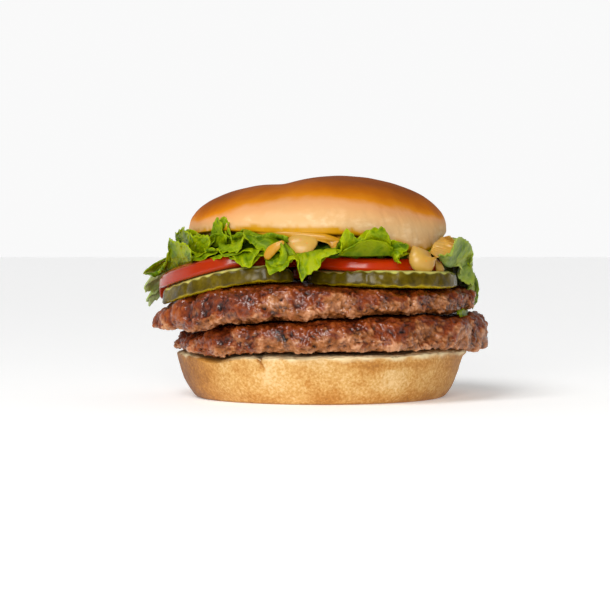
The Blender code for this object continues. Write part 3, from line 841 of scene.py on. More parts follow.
# %% Inner folds
INNER_TIPS = {
    "left_top": [
        (186, 61.0, 64.5), (193, 60.0, 67.5), (201, 57.5, 66.0), (208, 58.5, 68.5), (215, 58.0, 66.5),
        (222, 58.5, 69.5), (230, 57.5, 68.5), (236, 58.5, 70.0), (243, 57.5, 68.5), (250, 58.5, 70.0),
        (257, 57.5, 68.0),
    ],
    "left_low": [
        (184, 62.0, 55.0), (191, 61.5, 58.5), (199, 62.5, 60.5), (207, 60.5, 62.5), (215, 62.5, 60.0),
        (223, 61.0, 63.5), (231, 62.0, 60.0), (239, 60.5, 62.5), (247, 61.5, 60.5), (254, 60.0, 63.0),
    ],
    "front": [
        (262, 57.5, 60.0), (270, 57.5, 61.5), (279, 56.5, 63.5), (288, 57.5, 65.0), (297, 57.0, 62.0),
        (306, 57.5, 61.0), (315, 54.0, 60.0), (324, 53.0, 58.0),
    ],
    "right": [
        (322, 53.0, 58.0), (329, 56.0, 61.0), (336, 60.0, 58.5), (343, 63.0, 60.5), (350, 64.5, 54.0),
        (358, 65.0, 57.5), (367, 65.0, 51.0), (377, 64.0, 55.0),
    ],
}


def over_middle(x, y):
    return tomato_top(x, y) + 1.4


INNER_LEAVES = [
    ("left_top", under_crown, under_crown, 0.0, 71),
    ("left_low", under_crown, over_middle, 0.0, 72),
    ("front", under_crown, over_middle, 0.0, 73),
    ("right", under_crown, over_middle, 9.0, 74),
]

# %% [markdown]
# The leaf itself is crisp and blistered between its veins. A displacement could give that in the finish,
# but the folds catch light and shade of their own, so they are put into the points: a ruffle along the
# edge, sharp folds of 6 to 8 mm, and blisters of 4 mm. TUCK draws the solids' frills in, where smaller
# folds and lobes take their place. BLOOM is how grey a leaf's back looks, and CRUMPLE how deep its folds
# are where that isn't the usual.

# %% Leaves
CRUMPLE = {"right": 1.7, "left_back": 0.35}
USUAL_CRUMPLE = 0.8
BLOOM = {
    "lettuce_leaf_left_back": 0.8, "lettuce_leaf_right": 0.25,
    "lettuce_lobe_right_upper": 0.22, "lettuce_lobe_right_lower": 0.2,
}
TUCK = {"left_upper": 3.5, "left_lower": 3.0, "front": 4.0, "right": 2.0}


def make_leaf(name, tips, heart_level, neck_level, arch, lean, seed, node=None):
    tips = [(angle, out - TUCK.get(name, 0.0), height) for angle, out, height in tips]
    crumple = CRUMPLE.get(name, USUAL_CRUMPLE)
    pleat = 0.0 if name == "left_back" else LEAF_PLEAT
    sheet, along, out = leaf_sheet(tips, heart_level, neck_level, arch, lean, pleat, seed)
    return crumpled_leaf("lettuce_leaf_" + name, sheet, along, out, crumple, 0.35 * pleat, seed, node)


def crumpled_leaf(name, sheet, along, out, crumple, ruffle, seed, node=None):
    """Crumples a leaf's middle surface, makes it a solid, and notes for the finish how far out it is."""
    across = np.cumsum(np.linalg.norm(np.diff(sheet, axis=0, prepend=sheet[:1]), axis=-1), axis=0)
    map_points = np.stack([along.ravel(), across.ravel(), np.full(along.size, 40.0 * seed)], axis=-1)
    frill = smooth(0.05, 0.6, out)
    phase = 2 * lumps(map_points, 12, seed + 1).reshape(out.shape)
    ruffle = ruffle * np.sin(2 * math.pi * along / RUFFLE_LENGTH + phase)
    folds = 0.7 * lumps(map_points, 8, seed + 2, 3) + 1.1 * (0.3 - np.abs(lumps(map_points, 6, seed + 5, 2)))
    crumple = crumple * folds.reshape(out.shape)
    blister = BLISTER_DEPTH * (1 - grains(map_points, BLISTER_SIZE, seed + 3)).reshape(out.shape)
    shift = frill * (ruffle + crumple - blister)
    sheet = sheet + sheet_normals(sheet) * shift[..., None]
    piece = leaf_solid(name, sheet, LEAF_THICKNESS * (1 - 0.4 * smooth(0.8, 1, out)))
    paint(piece, "out", np.tile(out.ravel(), 2))
    bloom = np.full(2 * out.size, BLOOM.get(name, 0.0))
    if "back" in name:
        bloom *= smooth(53, 50, places(piece)[:, 2])
    paint(piece, "bloom", bloom)
    # The fold is drawn lighter and darker in the finish, as painted light and shade on the folds.
    paint(piece, "fold", 0.5 + np.tile(folds, 2))
    paint(piece, "leaf_map", np.tile(map_points, (2, 1)), "FLOAT_VECTOR", "vector")
    seat(piece, node)
    return piece


leaves = [make_leaf(*row, node="lettuce_" + row[0]) for row in LEAVES]
for fold_name, heart_level, neck_level, arch, seed in INNER_LEAVES:
    fold = make_leaf("fold_" + fold_name, INNER_TIPS[fold_name], heart_level, neck_level, arch, 0.7, seed)
    leaves.append(fold)

# %% [markdown]
# A frill ends in lobes, each of which folds its own way, some up over the bread and some down over the
# tomato. They are what the eye knows a leaf by, so each is a small sheet of its own between a root, where
# it leaves the leaf, and an edge. Both are drawn as they are seen from the front, as columns and rows of
# the camera's picture, and then laid on an upright cylinder round the middle of the stack, so that they
# stand in depth.

# %% Where a spot of the picture lies
PICTURE_WIDTH = 610
PICTURE_MIDDLE = PICTURE_WIDTH / 2
FOCAL_STEPS = LENS / SENSOR_WIDTH * PICTURE_WIDTH
AIM_STEPS = 12
camera_ahead = np.array([0.0, math.cos(CAMERA_RISE), -math.sin(CAMERA_RISE)])
camera_up = np.array([0.0, math.sin(CAMERA_RISE), math.cos(CAMERA_RISE)])
camera_place = np.array(camera.location) / MM


def seen_at(column, row, out, side=-1):
    """The point of an upright cylinder, out millimetres from the middle, that the camera sees at a column and
    row of its picture. side is -1 for the cylinder's front and 1 for its back."""
    ray = FOCAL_STEPS * camera_ahead + (PICTURE_MIDDLE - row) * camera_up
    ray = ray + np.array([column - PICTURE_MIDDLE, 0.0, 0.0])
    depth = side * out
    for _ in range(AIM_STEPS):
        point = camera_place + ray * (depth - camera_place[1]) / ray[1]
        depth = 0.5 * depth + 0.5 * side * math.sqrt(max(out**2 - point[0] ** 2, 1.0))
    return point


print("the picture's middle, 60 mm out:", seen_at(PICTURE_MIDDLE, PICTURE_MIDDLE, 60).round(1).tolist())

# %% [markdown]
# These are the lobes that show from the front, each with the way it folds: up over the lip of the bread,
# out into the light, or down over the slices. A lobe that bellies away from the viewer shows its underside.
# That lies in shade, so it is noted as less far out, which the finish draws darker.

# %% Lobes of the frills
UNDERSIDE_SHADE = 0.52
# name: root, how far out it is, edge, how far out that is, and how much it bellies towards the viewer
LOBES = {
    "left_corner": (
        [(157, 275), (167, 271), (180, 268), (192, 265)], 60,
        [
            (145, 274.5), (157, 272), (165, 262), (168, 248), (169.5, 239), (176, 241.5), (185, 243.5),
            (191, 250), (192, 258),
        ],
        66, 1.5,
    ),
    "left_top": (
        [(177, 243), (188, 251), (197, 254), (205, 252)], 58,
        [(175.5, 233), (183, 227.5), (188, 232), (194, 235.5), (201, 236), (209.5, 236), (210, 246)], 62, 1.5,
    ),
    "pocket": (
        [(191.5, 250), (194, 256), (204, 259.5), (213, 256.5), (222, 254)], 58,
        [(191.5, 265.5), (198, 266.5), (209, 263), (217, 259.5), (222.5, 256)], 61, 1.0,
    ),
    "tongue_up": (
        [(209, 244), (216, 247), (227, 243)], 56,
        [(210.5, 236), (213.5, 224), (218, 218), (222, 224), (222.5, 231), (227, 237)], 57.5, 0.8,
    ),
    "saddle": (
        [(223, 243), (232, 243), (243, 239)], 55,
        [(224.5, 231), (230, 237), (237, 234), (243, 229)], 57, -0.8,
    ),
    "saddle_lip": (
        [(218.5, 243), (228, 244.5), (238, 241.5), (244, 235.5)], 58,
        [(219.5, 250), (224, 252.5), (231, 251.5), (238, 252.5), (241.5, 245), (244.5, 238)], 61, 1.2,
    ),
    "hanging": (
        [(228.5, 256.5), (236, 257.5), (244, 255), (253, 249), (261, 247)], 58,
        [
            (231, 258.5), (237, 261.5), (241.5, 266), (249, 267), (253.5, 261), (255.5, 255),
            (261.5, 249.5),
        ], 62, 1.0,
    ),
    "bright_band": (
        [(243.5, 229.5), (251, 231.5), (262, 235), (272, 237), (280.5, 242)], 56,
        [(243.5, 235), (250, 243), (257, 248), (263, 250), (266, 257)], 60, 1.2,
    ),
    "curl": (
        [(281, 242), (286, 250), (287.5, 258), (286, 265)], 61,
        [(279, 246), (280, 254), (276, 261), (269, 265)], 59, 1.0,
    ),
    "curl_tip": (
        [(265.5, 263), (274, 266), (281, 264), (287, 260)], 60,
        [(266, 266), (269.5, 273.5), (278, 271.5), (286, 268), (289, 262)], 63, 0.8,
    ),
    "dark_band": (
        [(283, 240), (291, 248), (297, 254), (306, 253)], 57,
        [(283, 249), (287, 258), (290, 262), (294, 259), (300, 256)], 58, 0.5,
    ),
    "pointed_tongue": (
        [(287, 255), (296, 254), (306, 252.5), (318, 250), (335, 248.5)], 57.5,
        [
            (288, 264), (294, 258.5), (298, 264), (301.5, 280.5), (306, 276), (312, 272), (319.5, 268),
            (321, 259.5), (330, 256), (337, 253),
        ],
        62, 1.0,
    ),
    "front_wave": (
        [(329, 253.5), (343, 251.5), (352, 247), (362, 243), (374, 241.5), (385, 244), (391, 249)], 58,
        [
            (331, 252.5), (342, 250), (341, 237), (347.5, 229), (353, 234), (357, 239), (364, 238),
            (369, 230.5), (376, 230), (381.5, 226.5), (386.5, 232), (391, 240.5),
        ],
        60, 0.6,
    ),
    "wave_underside": (
        [(338, 255), (350, 256), (365, 256), (380, 255.5), (394, 255)], 57,
        [(344, 250), (353, 245), (363, 241.5), (374, 240), (385, 242.5), (393, 248)], 61, -0.5,
    ),
    "wave_end": (
        [(389, 240), (388, 247), (391, 253), (395, 260)], 57,
        [(391, 240.5), (402, 241.5), (408.5, 246.5), (403, 253), (397.5, 257.5), (400.5, 263.5)], 62, 1.0,
    ),
    "right_upper": (
        [(438, 256), (446, 266), (457, 266), (469, 266)], 60,
        [
            (439, 254), (451, 254), (455, 243), (459, 237), (466, 240), (471, 246), (473, 254),
            (471, 264),
        ], 66, 1.5,
    ),
    "right_lower": (
        [(455, 266), (456, 277), (458, 287), (465, 296), (469, 304)], 63,
        [(470, 264), (475, 275), (478.5, 283), (479, 293), (477, 301), (473, 307)], 68, 1.5,
    ),
    "between_patties": (
        [(457, 309), (463, 308), (468, 310)], 62,
        [(458, 314), (465, 316), (471, 316.5)], 64, 0.3,
    ),
}
BACK_LOBES = {"right_lower"}
LOBE_STEPS = 12
LOBE_ROWS = 22


def lobe_sheet(root, root_out, edge, edge_out, belly, side=-1):
    """The middle surface of a lobe between its root and its edge, laid out as leaf_sheet gives a leaf's."""
    columns = LOBE_STEPS * (len(edge) - 1) + 1
    rim = through([seen_at(*spot, edge_out, side) for spot in edge], LOBE_STEPS)
    foot = through([seen_at(*spot, root_out, side) for spot in root], LOBE_STEPS)
    picks = np.linspace(0, len(foot) - 1, columns)
    foot = np.stack([np.interp(picks, np.arange(len(foot)), foot[:, axis]) for axis in range(3)], axis=-1)
    t = np.linspace(0, 1, LOBE_ROWS)[:, None, None]
    sheet = (1 - t) * foot + t * rim
    sheet[..., 1] -= belly * np.sin(math.pi * t[..., 0])
    along = distances(rim)
    out = np.broadcast_to(0.45 + 0.55 * t[..., 0], sheet.shape[:2])
    if belly < 0:
        out = UNDERSIDE_SHADE * out
    return sheet, np.broadcast_to(along, sheet.shape[:2]), out


for seed, (lobe_name, lobe) in enumerate(LOBES.items(), start=101):
    sheet, along, out = lobe_sheet(*lobe, side=1 if lobe_name in BACK_LOBES else -1)
    sheet[..., 2] += 0.9 * nibbles(along[0], 2.4, seed) * smooth(0.8, 1, out)
    leaves.append(crumpled_leaf("lettuce_lobe_" + lobe_name, sheet, along, out, 0.7, 0.0, seed))

# %% [markdown]
# The middle of the lettuce is hidden, but a gap there would let light through between the frills. It could
# be many more leaves. One thick round body with a crumpled rim closes the view at a fraction of the points.
# Its finish draws it dark green, as painted shade between the frills.

# %% Crumpled middle of the lettuce
HEART_HALF_WIDTH = 51.5
HEART_SEGMENTS = 260


def heart_reach(angle):
    return HEART_HALF_WIDTH + wobble(angle, 75, 0.8, (5, 9, 14))


def heart_bottom(x, y):
    return tomato_top(x, y) - 1.5


def heart_top(x, y):
    return crown_base(x, y) - 2.6


heart, heart_share, _ = slab(
    "lettuce_crumpled_middle", (CROWN_MIDDLE_X, 0.0), heart_reach, heart_top, heart_bottom, HEART_SEGMENTS,
    ring_leans(30, 51, 6, 6), 0.5, (6, 6),
)
heart_points = places(heart)
swell(heart, smooth(0.75, 0.97, heart_share) * 2.6 * (grains(heart_points * (1, 1, 0.6), 7.0, 76) - 0.7))
# The middle is noted as inside and in a hollow, so the finish draws it dark green as painted shade.
paint(heart, "out", np.full(len(heart_points), -1.0))
paint(heart, "fold", np.full(len(heart_points), 0.3))
paint(heart, "leaf_map", heart_points, "FLOAT_VECTOR", "vector")
seat(heart, None)
leaves.append(heart)

# %% [markdown]
# The sauce is a thick cream with fine orange specks, spread on the cut face of the crown. It is squeezed out
# at the front in a broad drip, a thread and a heavy blob. Thick sauce keeps a rounded edge, so it is one
# more round body whose rim hangs down where it runs.

# %% Sauce
PRESSED = 0.8
# middle in degrees, half width in degrees, how far it hangs, how far it comes out
SAUCE_RUNS = [(262, 6.8, 6.4, 2.4), (277, 2.2, 4.0, 0.8), (321, 5.0, 7.0, 2.4), (326, 2.4, 6.0, 2.6)]


def run_shape(angle, middle_deg, width_deg):
    """A hump with steep sides and a blunt end, as a thick sauce runs."""
    away = (angle - math.radians(middle_deg) + math.pi) % (2 * math.pi) - math.pi
    return np.exp(-(np.abs(away / math.radians(width_deg)) ** 3.6))


def sauce_runs(angle, column, spread):
    return sum(row[column] * run_shape(angle, row[0], row[1] * spread) for row in SAUCE_RUNS)


def sauce_reach(angle):
    return SAUCE_SHARE * crown_reach(angle) + sauce_runs(angle, 3, 1.4)


def sauce_hang(x, y):
    angle = np.arctan2(y, x - CROWN_MIDDLE_X)
    share = np.hypot(x - CROWN_MIDDLE_X, y) / sauce_reach(angle)
    return sauce_runs(angle, 2, 1.0) * smooth(0.93, 0.98, share)


def sauce_top(x, y):
    return crown_base(x, y) + PRESSED - 0.3 * sauce_hang(x, y)


def sauce_bottom(x, y):
    return crown_base(x, y) - 1.7 * CLEAR - SAUCE_THICKNESS - sauce_hang(x, y)


sauce, sauce_share, _ = slab(
    "burger_sauce", (CROWN_MIDDLE_X, 0.0), sauce_reach, sauce_top, sauce_bottom, 480,
    ring_leans(44, 52, 2, 6.5), 0.5, (6.5, 8),
)
swell(sauce, smooth(0.85, 0.97, sauce_share) * 0.25 * lumps(places(sauce), 4.5, 71, 2))
sauce_points = places(sauce)
sauce_turn = np.arctan2(sauce_points[:, 1], sauce_points[:, 0])
above_bread = sauce_points[:, 2] - crown_base(sauce_points[:, 0], sauce_points[:, 1])
thin_film = turn_hump(sauce_turn, 255, 42) * smooth(0.6, 0.9, sauce_share) * smooth(-2.2, -1.0, above_bread)
paint(sauce, "soaked", thin_film)
seat(sauce, "sauce")

# %% [markdown]
# Thin runs of sauce lie on the leaves or hang from the bread. Each is a tapered tube along a short path,
# closed at both ends, because a drop is a string that grew thick. It is flatter than it is wide, and its
# flat side faces away from the stack. The blob came out from under the lip at full width, so its top is
# blunt. Where a run is only a film, it is noted as soaked, and the finish gives it a clear ochre.

# %% Drops and strings
DROPS = {
    # name: path in the picture, half widths in millimetres, how far out, and its depth over its width
    "cup": (
        [(302.5, 224), (302.5, 237), (302, 246), (300.5, 255)],
        [7.2, 7.2, 6.8, 4.8], [48, 53.5, 55.5, 57], 0.28,
    ),
    "blob": (
        [(421.5, 249.5), (422, 256), (423.5, 262), (425.5, 268), (427, 274.5)], [6.6, 6.8, 6.0, 4.6, 3.6],
        [56.5, 58.5, 59.5, 60, 60], 0.5,
    ),
    "squeezed_rim": (
        [(246, 231), (262, 233), (285, 234.5), (305, 235.5), (325, 237.5), (341, 241)],
        [0.5, 1.1, 1.3, 1.3, 1.5, 0.8], [53.2, 53.8, 54, 54, 54, 53.6], 0.55,
    ),
    "drop_on_leaf": (
        [(284, 241.5), (277, 246), (271, 251), (265.5, 259)], [0.8, 1.6, 2.1, 1.6], [60, 60.5, 60.5, 60], 0.5,
    ),
    "second_drip": ([(433, 252), (437.5, 262), (441.5, 274)], [1.2, 1.3, 2.4], [53, 58, 59], 0.5),
}
DROP_ROUND = 28
DROP_STEPS = 22
DROP_TURN = 0.4
BLUNT_TOP = {"blob": 0.5}
DROP_SOAKED = {"drop_on_leaf": 0.8, "squeezed_rim": 0.9}


def make_drop(name, path, widths, outs, depth):
    """A tapered tube with round ends along a path, flattened to depth times its width."""
    line = through([seen_at(*spot, out) for spot, out in zip(path, outs)], DROP_STEPS)
    t = np.linspace(0, len(widths) - 1, len(line))
    width = np.interp(t, np.arange(len(widths)), widths)
    run = distances(line)
    from_top = run / width + BLUNT_TOP.get(name, 0.0)
    from_end = np.clip(np.minimum(from_top, (run[-1] - run) / width), 0.03, 1)
    width = width * np.sqrt(1 - (1 - from_end) ** 2)
    along = np.gradient(line, axis=0)
    along /= np.linalg.norm(along, axis=1, keepdims=True)
    outward = line * (DROP_TURN, 1, 0)
    outward /= np.linalg.norm(outward, axis=1, keepdims=True)
    sideways = np.cross(along, outward)
    turn = np.linspace(0, 2 * math.pi, DROP_ROUND, endpoint=False)
    spoke = np.cos(turn)[:, None] * sideways[:, None] + depth * np.sin(turn)[:, None] * outward[:, None]
    rings = line[:, None] + spoke * width[:, None, None]
    points = np.concatenate([line[:1], rings.reshape(-1, 3), line[-1:]])
    piece = new_piece("sauce_" + name, points, ring_faces(DROP_ROUND, len(line)))
    paint(piece, "soaked", np.full(len(points), DROP_SOAKED.get(name, 0.0)))
    seat(piece, None)
    return piece


drops = [make_drop(drop_name, *drop) for drop_name, drop in DROPS.items()]
film_root = [(316, 238), (326, 238.5), (338, 240)]
film_edge = [
    (317.5, 240), (323, 241.5), (328, 243), (331.8, 245.5), (334.3, 250), (335.6, 254), (335.9, 248),
    (336.6, 243.5), (338.5, 241),
]
sheet, along, out = lobe_sheet(film_root, 53.5, film_edge, 55, 0.0)
film = crumpled_leaf("sauce_film", sheet, along, out, 0.1, 0.0, 142)
paint(film, "soaked", np.full(len(film.data.vertices), 0.75))
drops.append(film)

RIDGE_LENGTH = 2.2
strip_root = [(430, 253), (434, 244), (442, 237)]
strip_edge = [(437, 257), (448.5, 255), (454, 250), (455.5, 243), (449, 236)]
sheet, along, out = lobe_sheet(strip_root, 55, strip_edge, 64, 0.6)
ridges = np.sin(2 * math.pi * along / RIDGE_LENGTH)
sheet[..., 1] += 0.1 * ridges
sheet[..., 0] += 0.5 * ridges * smooth(0.85, 1, out)
strip = crumpled_leaf("sauce_coated_strip", sheet, along, out, 0.2, 0.0, 141)
paint(strip, "soaked", 0.12 * smooth(0.0, 1.0, lumps(places(strip), 2.0, 143)))
drops.append(strip)

# %% [markdown]
# The crown is the domed top of a soft milk bun. It was brushed with egg, so its top is brown and glossy,
# and it fades through orange and peach to a pale, matt side that touched its neighbours in the oven. It is
# one turned body, higher at its right, with a shallow notch, faint wrinkles and a fat rounded lip.

# %% Crown
CROWN_SEGMENTS = 460


def crown_top(x, y):
    along = x - CROWN_MIDDLE_X
    dimple = 0.7 * hump(x, -16, 5) * hump(y, 0, 40)
    return CROWN_TOP + CROWN_TILT * np.tanh((along + 5) / 14) - dimple


def crown_bottom(x, y):
    angle = np.arctan2(y, x)
    lip = 1.4 * turn_hump(angle, 228, 36) + 3.8 * turn_hump(angle, 324, 20)
    return crown_base(x, y) - lip * smooth(32, 45, np.hypot(x, y))


def crown_level(angle):
    return 0.11 + 0.05 * turn_hump(angle, 318, 40) - 0.07 * turn_hump(angle, 180, 35)


def crown_shoulder(angle):
    return 2.25 - 0.2 * np.cos(angle)


crown, _, crown_height = slab(
    "crown_of_bun", (CROWN_MIDDLE_X, 0.0), crown_reach, crown_top, crown_bottom, CROWN_SEGMENTS,
    ring_leans(110, 54, 13, 2.25, hidden_top=1.0), crown_level, (crown_shoulder, 6.0),
)
crown_points = places(crown)
crown_skin = smooth(-0.6, 0.0, crown_height)
wrinkle_map = crown_points * (1.0, 1.0, 0.45)
wrinkles = 0.16 * lumps(wrinkle_map, 2.2, 81, 2) * smooth(0.8, 0.2, crown_height)
waves = 0.35 * lumps(crown_points, 18, 82, 2)
swell(crown, crown_skin * (wrinkles + waves - 0.25))
rise = (crown_points[:, 2] - CROWN_BASE) / (CROWN_TOP - CROWN_BASE)
crown_ends = 1.6e-4 * (crown_points[:, 0] - CROWN_MIDDLE_X) ** 2
bake = rise + crown_ends * (0.35 + 0.65 * smooth(0.0, 0.45, rise))
bake = bake + 0.11 * smooth(-28, -54, crown_points[:, 0]) + 0.04 * lumps(crown_points, 18, 83, 3)
paint(crown, "bake", bake)
above = crown_points[:, 2] - crown_bottom(crown_points[:, 0], crown_points[:, 1])
crown_turn = np.arctan2(crown_points[:, 1], crown_points[:, 0])
soak_line = 1.3 + 3.2 * turn_hump(crown_turn, 264, 38) + 2.4 * turn_hump(crown_turn, 322, 20)
soak_line = soak_line + 1.6 * lumps(crown_points, 7, 84, 3)
paint(crown, "soak", smooth(0.7, -0.7, above - soak_line))
seat(crown, "crown")

# %% [markdown]
# Now the finishes. Each one starts from the real stuff and from how its surface came about. A pattern's
# scale is one over its real size in metres, because the pieces' own coordinates are in metres. What was
# noted on the points above, such as how baked or how far out a spot is, comes in as an attribute.

# %% Material helpers
NOISE_ROUGHNESS = 0.6


def scale_for(size):
    """The scale of a texture whose features are size millimetres across."""
    return 1 / (size * MM)


def new_material(name, piece_list, noises, notes):
    """A named material on the pieces. Gives its tree and its shader, then one noise for each size and detail,
    then the number that was painted on the points under each name."""
    made = bpy.data.materials.new(name)
    made.use_nodes = True
    for piece in piece_list:
        piece.data.materials.clear()
        piece.data.materials.append(made)
    tree = made.node_tree
    given = [tree, tree.nodes["Principled BSDF"]]
    where = add_node(tree, "TexCoord", give="Object")
    for size, detail in noises:
        given.append(add_node(tree, "TexNoise", {
            "Vector": where, "Scale": scale_for(size), "Detail": detail, "Roughness": NOISE_ROUGHNESS,
        }))
    for note in notes:
        given.append(add_node(tree, "Attribute", give="Fac", attribute_name=note))
    print("finish", name, "on", len(piece_list), "pieces, with", len(noises), "noises")
    return given


# %% [markdown]
# The crown is milk bread brushed with egg and baked. The wash browns to a thin varnish, so the eye sees a
# soft shine on chestnut at the top, then orange, peach and a matt cream where the side was pale. A ramp
# follows the bake, with pale streaks low down, and where sauce soaked the lip it is ochre. Plain gloss
# made the brown look grey, so the shine comes from a thin coat alone. The skin's pores are about 0.3 mm
# wide and are drawn at 0.9 mm, so that they show.

# %% Egg-washed crust
MOTTLE_SIZE = 7
STREAK_SIZE = 4
CRUST_PORE_SIZE = 0.9

tree, shader, mottle, pores, bake, soak = new_material(
    "egg-washed milk bread crust", [crown], [(MOTTLE_SIZE, 4), (CRUST_PORE_SIZE, 3)], ["bake", "soak"],
)
where = add_node(tree, "TexCoord", give="Object")
bake = add_node(tree, "Math", {0: mottle, 1: 0.1, 2: bake}, operation="MULTIPLY_ADD")
bake = add_node(tree, "Math", {0: bake, 1: 0.05}, operation="SUBTRACT")
crust_stops = [(0.22, "#D8B07C"), (0.42, "#DAA76F"), (0.6, "#DA9A62"), (0.7, "#D27F10"), (0.8, "#BC6600")]
crust_stops += [(0.9, "#A65600"), (1.0, "#8C4400")]
crust = add_node(tree, "ValToRGB", {"Fac": bake}, stops=crust_stops)
streaks = add_node(tree, "Mapping", {"Vector": where, "Scale": (0.6, 0.6, 1.0)})
streaks = add_node(tree, "TexNoise", {
    "Vector": streaks, "Scale": scale_for(STREAK_SIZE), "Detail": 4, "Roughness": NOISE_ROUGHNESS,
})
pale = add_node(tree, "MapRange", {0: streaks, 1: 0.5, 2: 0.75, 3: 0.0, 4: 0.5})
low = add_node(tree, "MapRange", {0: bake, 1: 0.3, 2: 0.5, 3: 1.0, 4: 0.0})
pale = add_node(tree, "Math", {0: pale, 1: low}, operation="MULTIPLY")
streaked = add_node(tree, "Mix", {0: pale, 6: crust, 7: colour("#F6DDB4")}, give=2, data_type="RGBA")
soaked = add_node(tree, "Mix", {0: soak, 6: streaked, 7: colour("#C08806")}, give=2, data_type="RGBA")
gloss = add_node(tree, "MapRange", {0: bake, 1: 0.2, 2: 0.8, 3: 0.55, 4: 0.3})
bump = add_node(tree, "Bump", {"Strength": 0.25, "Distance": 0.15 * MM, "Height": pores})
connect(tree, shader, {
    "Base Color": soaked, "Roughness": gloss, "Normal": bump, "IOR": 1.45, "Specular IOR Level": 0.0,
    "Coat Weight": 0.16, "Coat Roughness": 0.3,
})

# %% [markdown]
# The heel is the same bread without the wash, baked against a tray. The eye sees a dry, matt, golden skin
# with a fine open grain, browner at its foot, and the torn crumb along its top edge is nearly white. Its ends
# are drawn browner too, partly as a darker crust and partly as painted shade where they turn from the light,
# and its crack is drawn darker as painted shade. The pores of such a crust are about half a millimetre wide,
# too fine to show, so they are drawn at 1.1 mm.

# %% Oven-baked heel crust
PATCH_SIZE = 16

tree, shader, patches, speckle, toasted, cut = new_material(
    "oven-baked golden crust", [heel], [(PATCH_SIZE, 3), (HEEL_GRAIN, 2)], ["toasted", "cut_edge"],
)
patches = add_node(tree, "MapRange", {0: patches, 1: 0.0, 2: 1.0, 3: 0.34, 4: 0.66})
toast = add_node(tree, "Math", {0: speckle, 1: 0.62, 2: patches}, operation="MULTIPLY_ADD")
toast = add_node(tree, "Math", {0: toast, 1: toasted}, operation="ADD")
toast = add_node(tree, "Math", {0: toast, 1: 0.75, 2: -0.07}, operation="MULTIPLY_ADD")
crust_stops = [(0.42, "#E4C188"), (0.54, "#D2A35A"), (0.66, "#BC8030"), (0.8, "#A0661E"), (0.95, "#7C4814")]
crust = add_node(tree, "ValToRGB", {"Fac": toast}, stops=crust_stops)
crumb = add_node(tree, "Mix", {0: cut, 6: crust, 7: colour("#EFDDAF")}, give=2, data_type="RGBA")
bump = add_node(tree, "Bump", {"Strength": 0.5, "Distance": 0.25 * MM, "Height": speckle})
connect(tree, shader, {"Base Color": crumb, "Normal": bump, "Roughness": 0.6})

# %% [markdown]
# Seared beef is brown where the fat fried it and rosy grey where it only steamed. Its cracks and pits are
# painted nearly black and its lumps lighter, as shade and light on the rough rim. Melted fat lies on it, so
# the eye sees hundreds of small glints that wander over lumps and strands. That fat is a coat with a coarser
# bump of its own, and it deepens the colour where it is thick. Meat fibre is 0.1 to 0.3 mm thick and is
# drawn at 0.7 mm, so that it shows.

# %% Seared ground beef
FLECK_SIZE = 1.6
FAT_POOL_SIZE = 9
FIBRE_SIZE = 0.7
GLINT_SIZE = 1.8
WET_SIZE = 4

tree, shader, fleck, fat, wet, fibre, glints, raised, faces_up, basted = new_material(
    "seared ground beef", [lower_patty, upper_patty],
    [(FLECK_SIZE, 3), (FAT_POOL_SIZE, 3), (WET_SIZE, 3), (FIBRE_SIZE, 3), (GLINT_SIZE, 2)],
    ["raised", "faces_up", "basted"],
)
# Painted shade and light: low spots of the relief are drawn nearly black, high ones lighter.
shade = add_node(tree, "Math", {0: fleck, 1: 0.5, 2: raised}, operation="MULTIPLY_ADD")
meat_stops = [(0.36, "#120602"), (0.5, "#45210A"), (0.63, "#7C4416"), (0.79, "#A26232"), (0.97, "#C98F66")]
meat = add_node(tree, "ValToRGB", {"Fac": shade}, stops=meat_stops)
fat = add_node(tree, "Math", {0: faces_up, 1: 0.12, 2: fat}, operation="MULTIPLY_ADD")
fat = add_node(tree, "Math", {0: fat, 1: basted}, operation="ADD")
glaze = add_node(tree, "MapRange", {0: fat, 1: 0.52, 2: 0.66, 3: 0.0, 4: 1.0})
glazed = {0: glaze, 6: meat, 7: colour("#C48A46")}
browned = add_node(tree, "Mix", glazed, give=2, data_type="RGBA", blend_type="MULTIPLY")
wet = add_node(tree, "MapRange", {0: wet, 1: 0.42, 2: 0.6, 3: 1.0, 4: 0.15})
bump = add_node(tree, "Bump", {"Strength": 1.0, "Distance": 0.45 * MM, "Height": fibre})
fat_skin = add_node(tree, "Bump", {"Strength": 0.7, "Distance": 0.4 * MM, "Height": glints})
connect(tree, shader, {
    "Base Color": browned, "Normal": bump, "IOR": 1.45, "Specular IOR Level": 0.2, "Roughness": 0.5,
    "Coat Weight": wet, "Coat Normal": fat_skin, "Coat Roughness": 0.1, "Coat IOR": 1.5,
})

# %% [markdown]
# Pickled cucumber has lost its bright green: its skin is dark olive and its flesh a translucent yellow
# green. It is wet from the brine, so the eye sees a clear shine along the rim and a bright yellow line
# where the cut flesh starts. A little scattering under the surface makes the flesh look full of water.

# %% Pickled cucumber
BLOTCH_SIZE = 5
WART_SIZE = 1.5

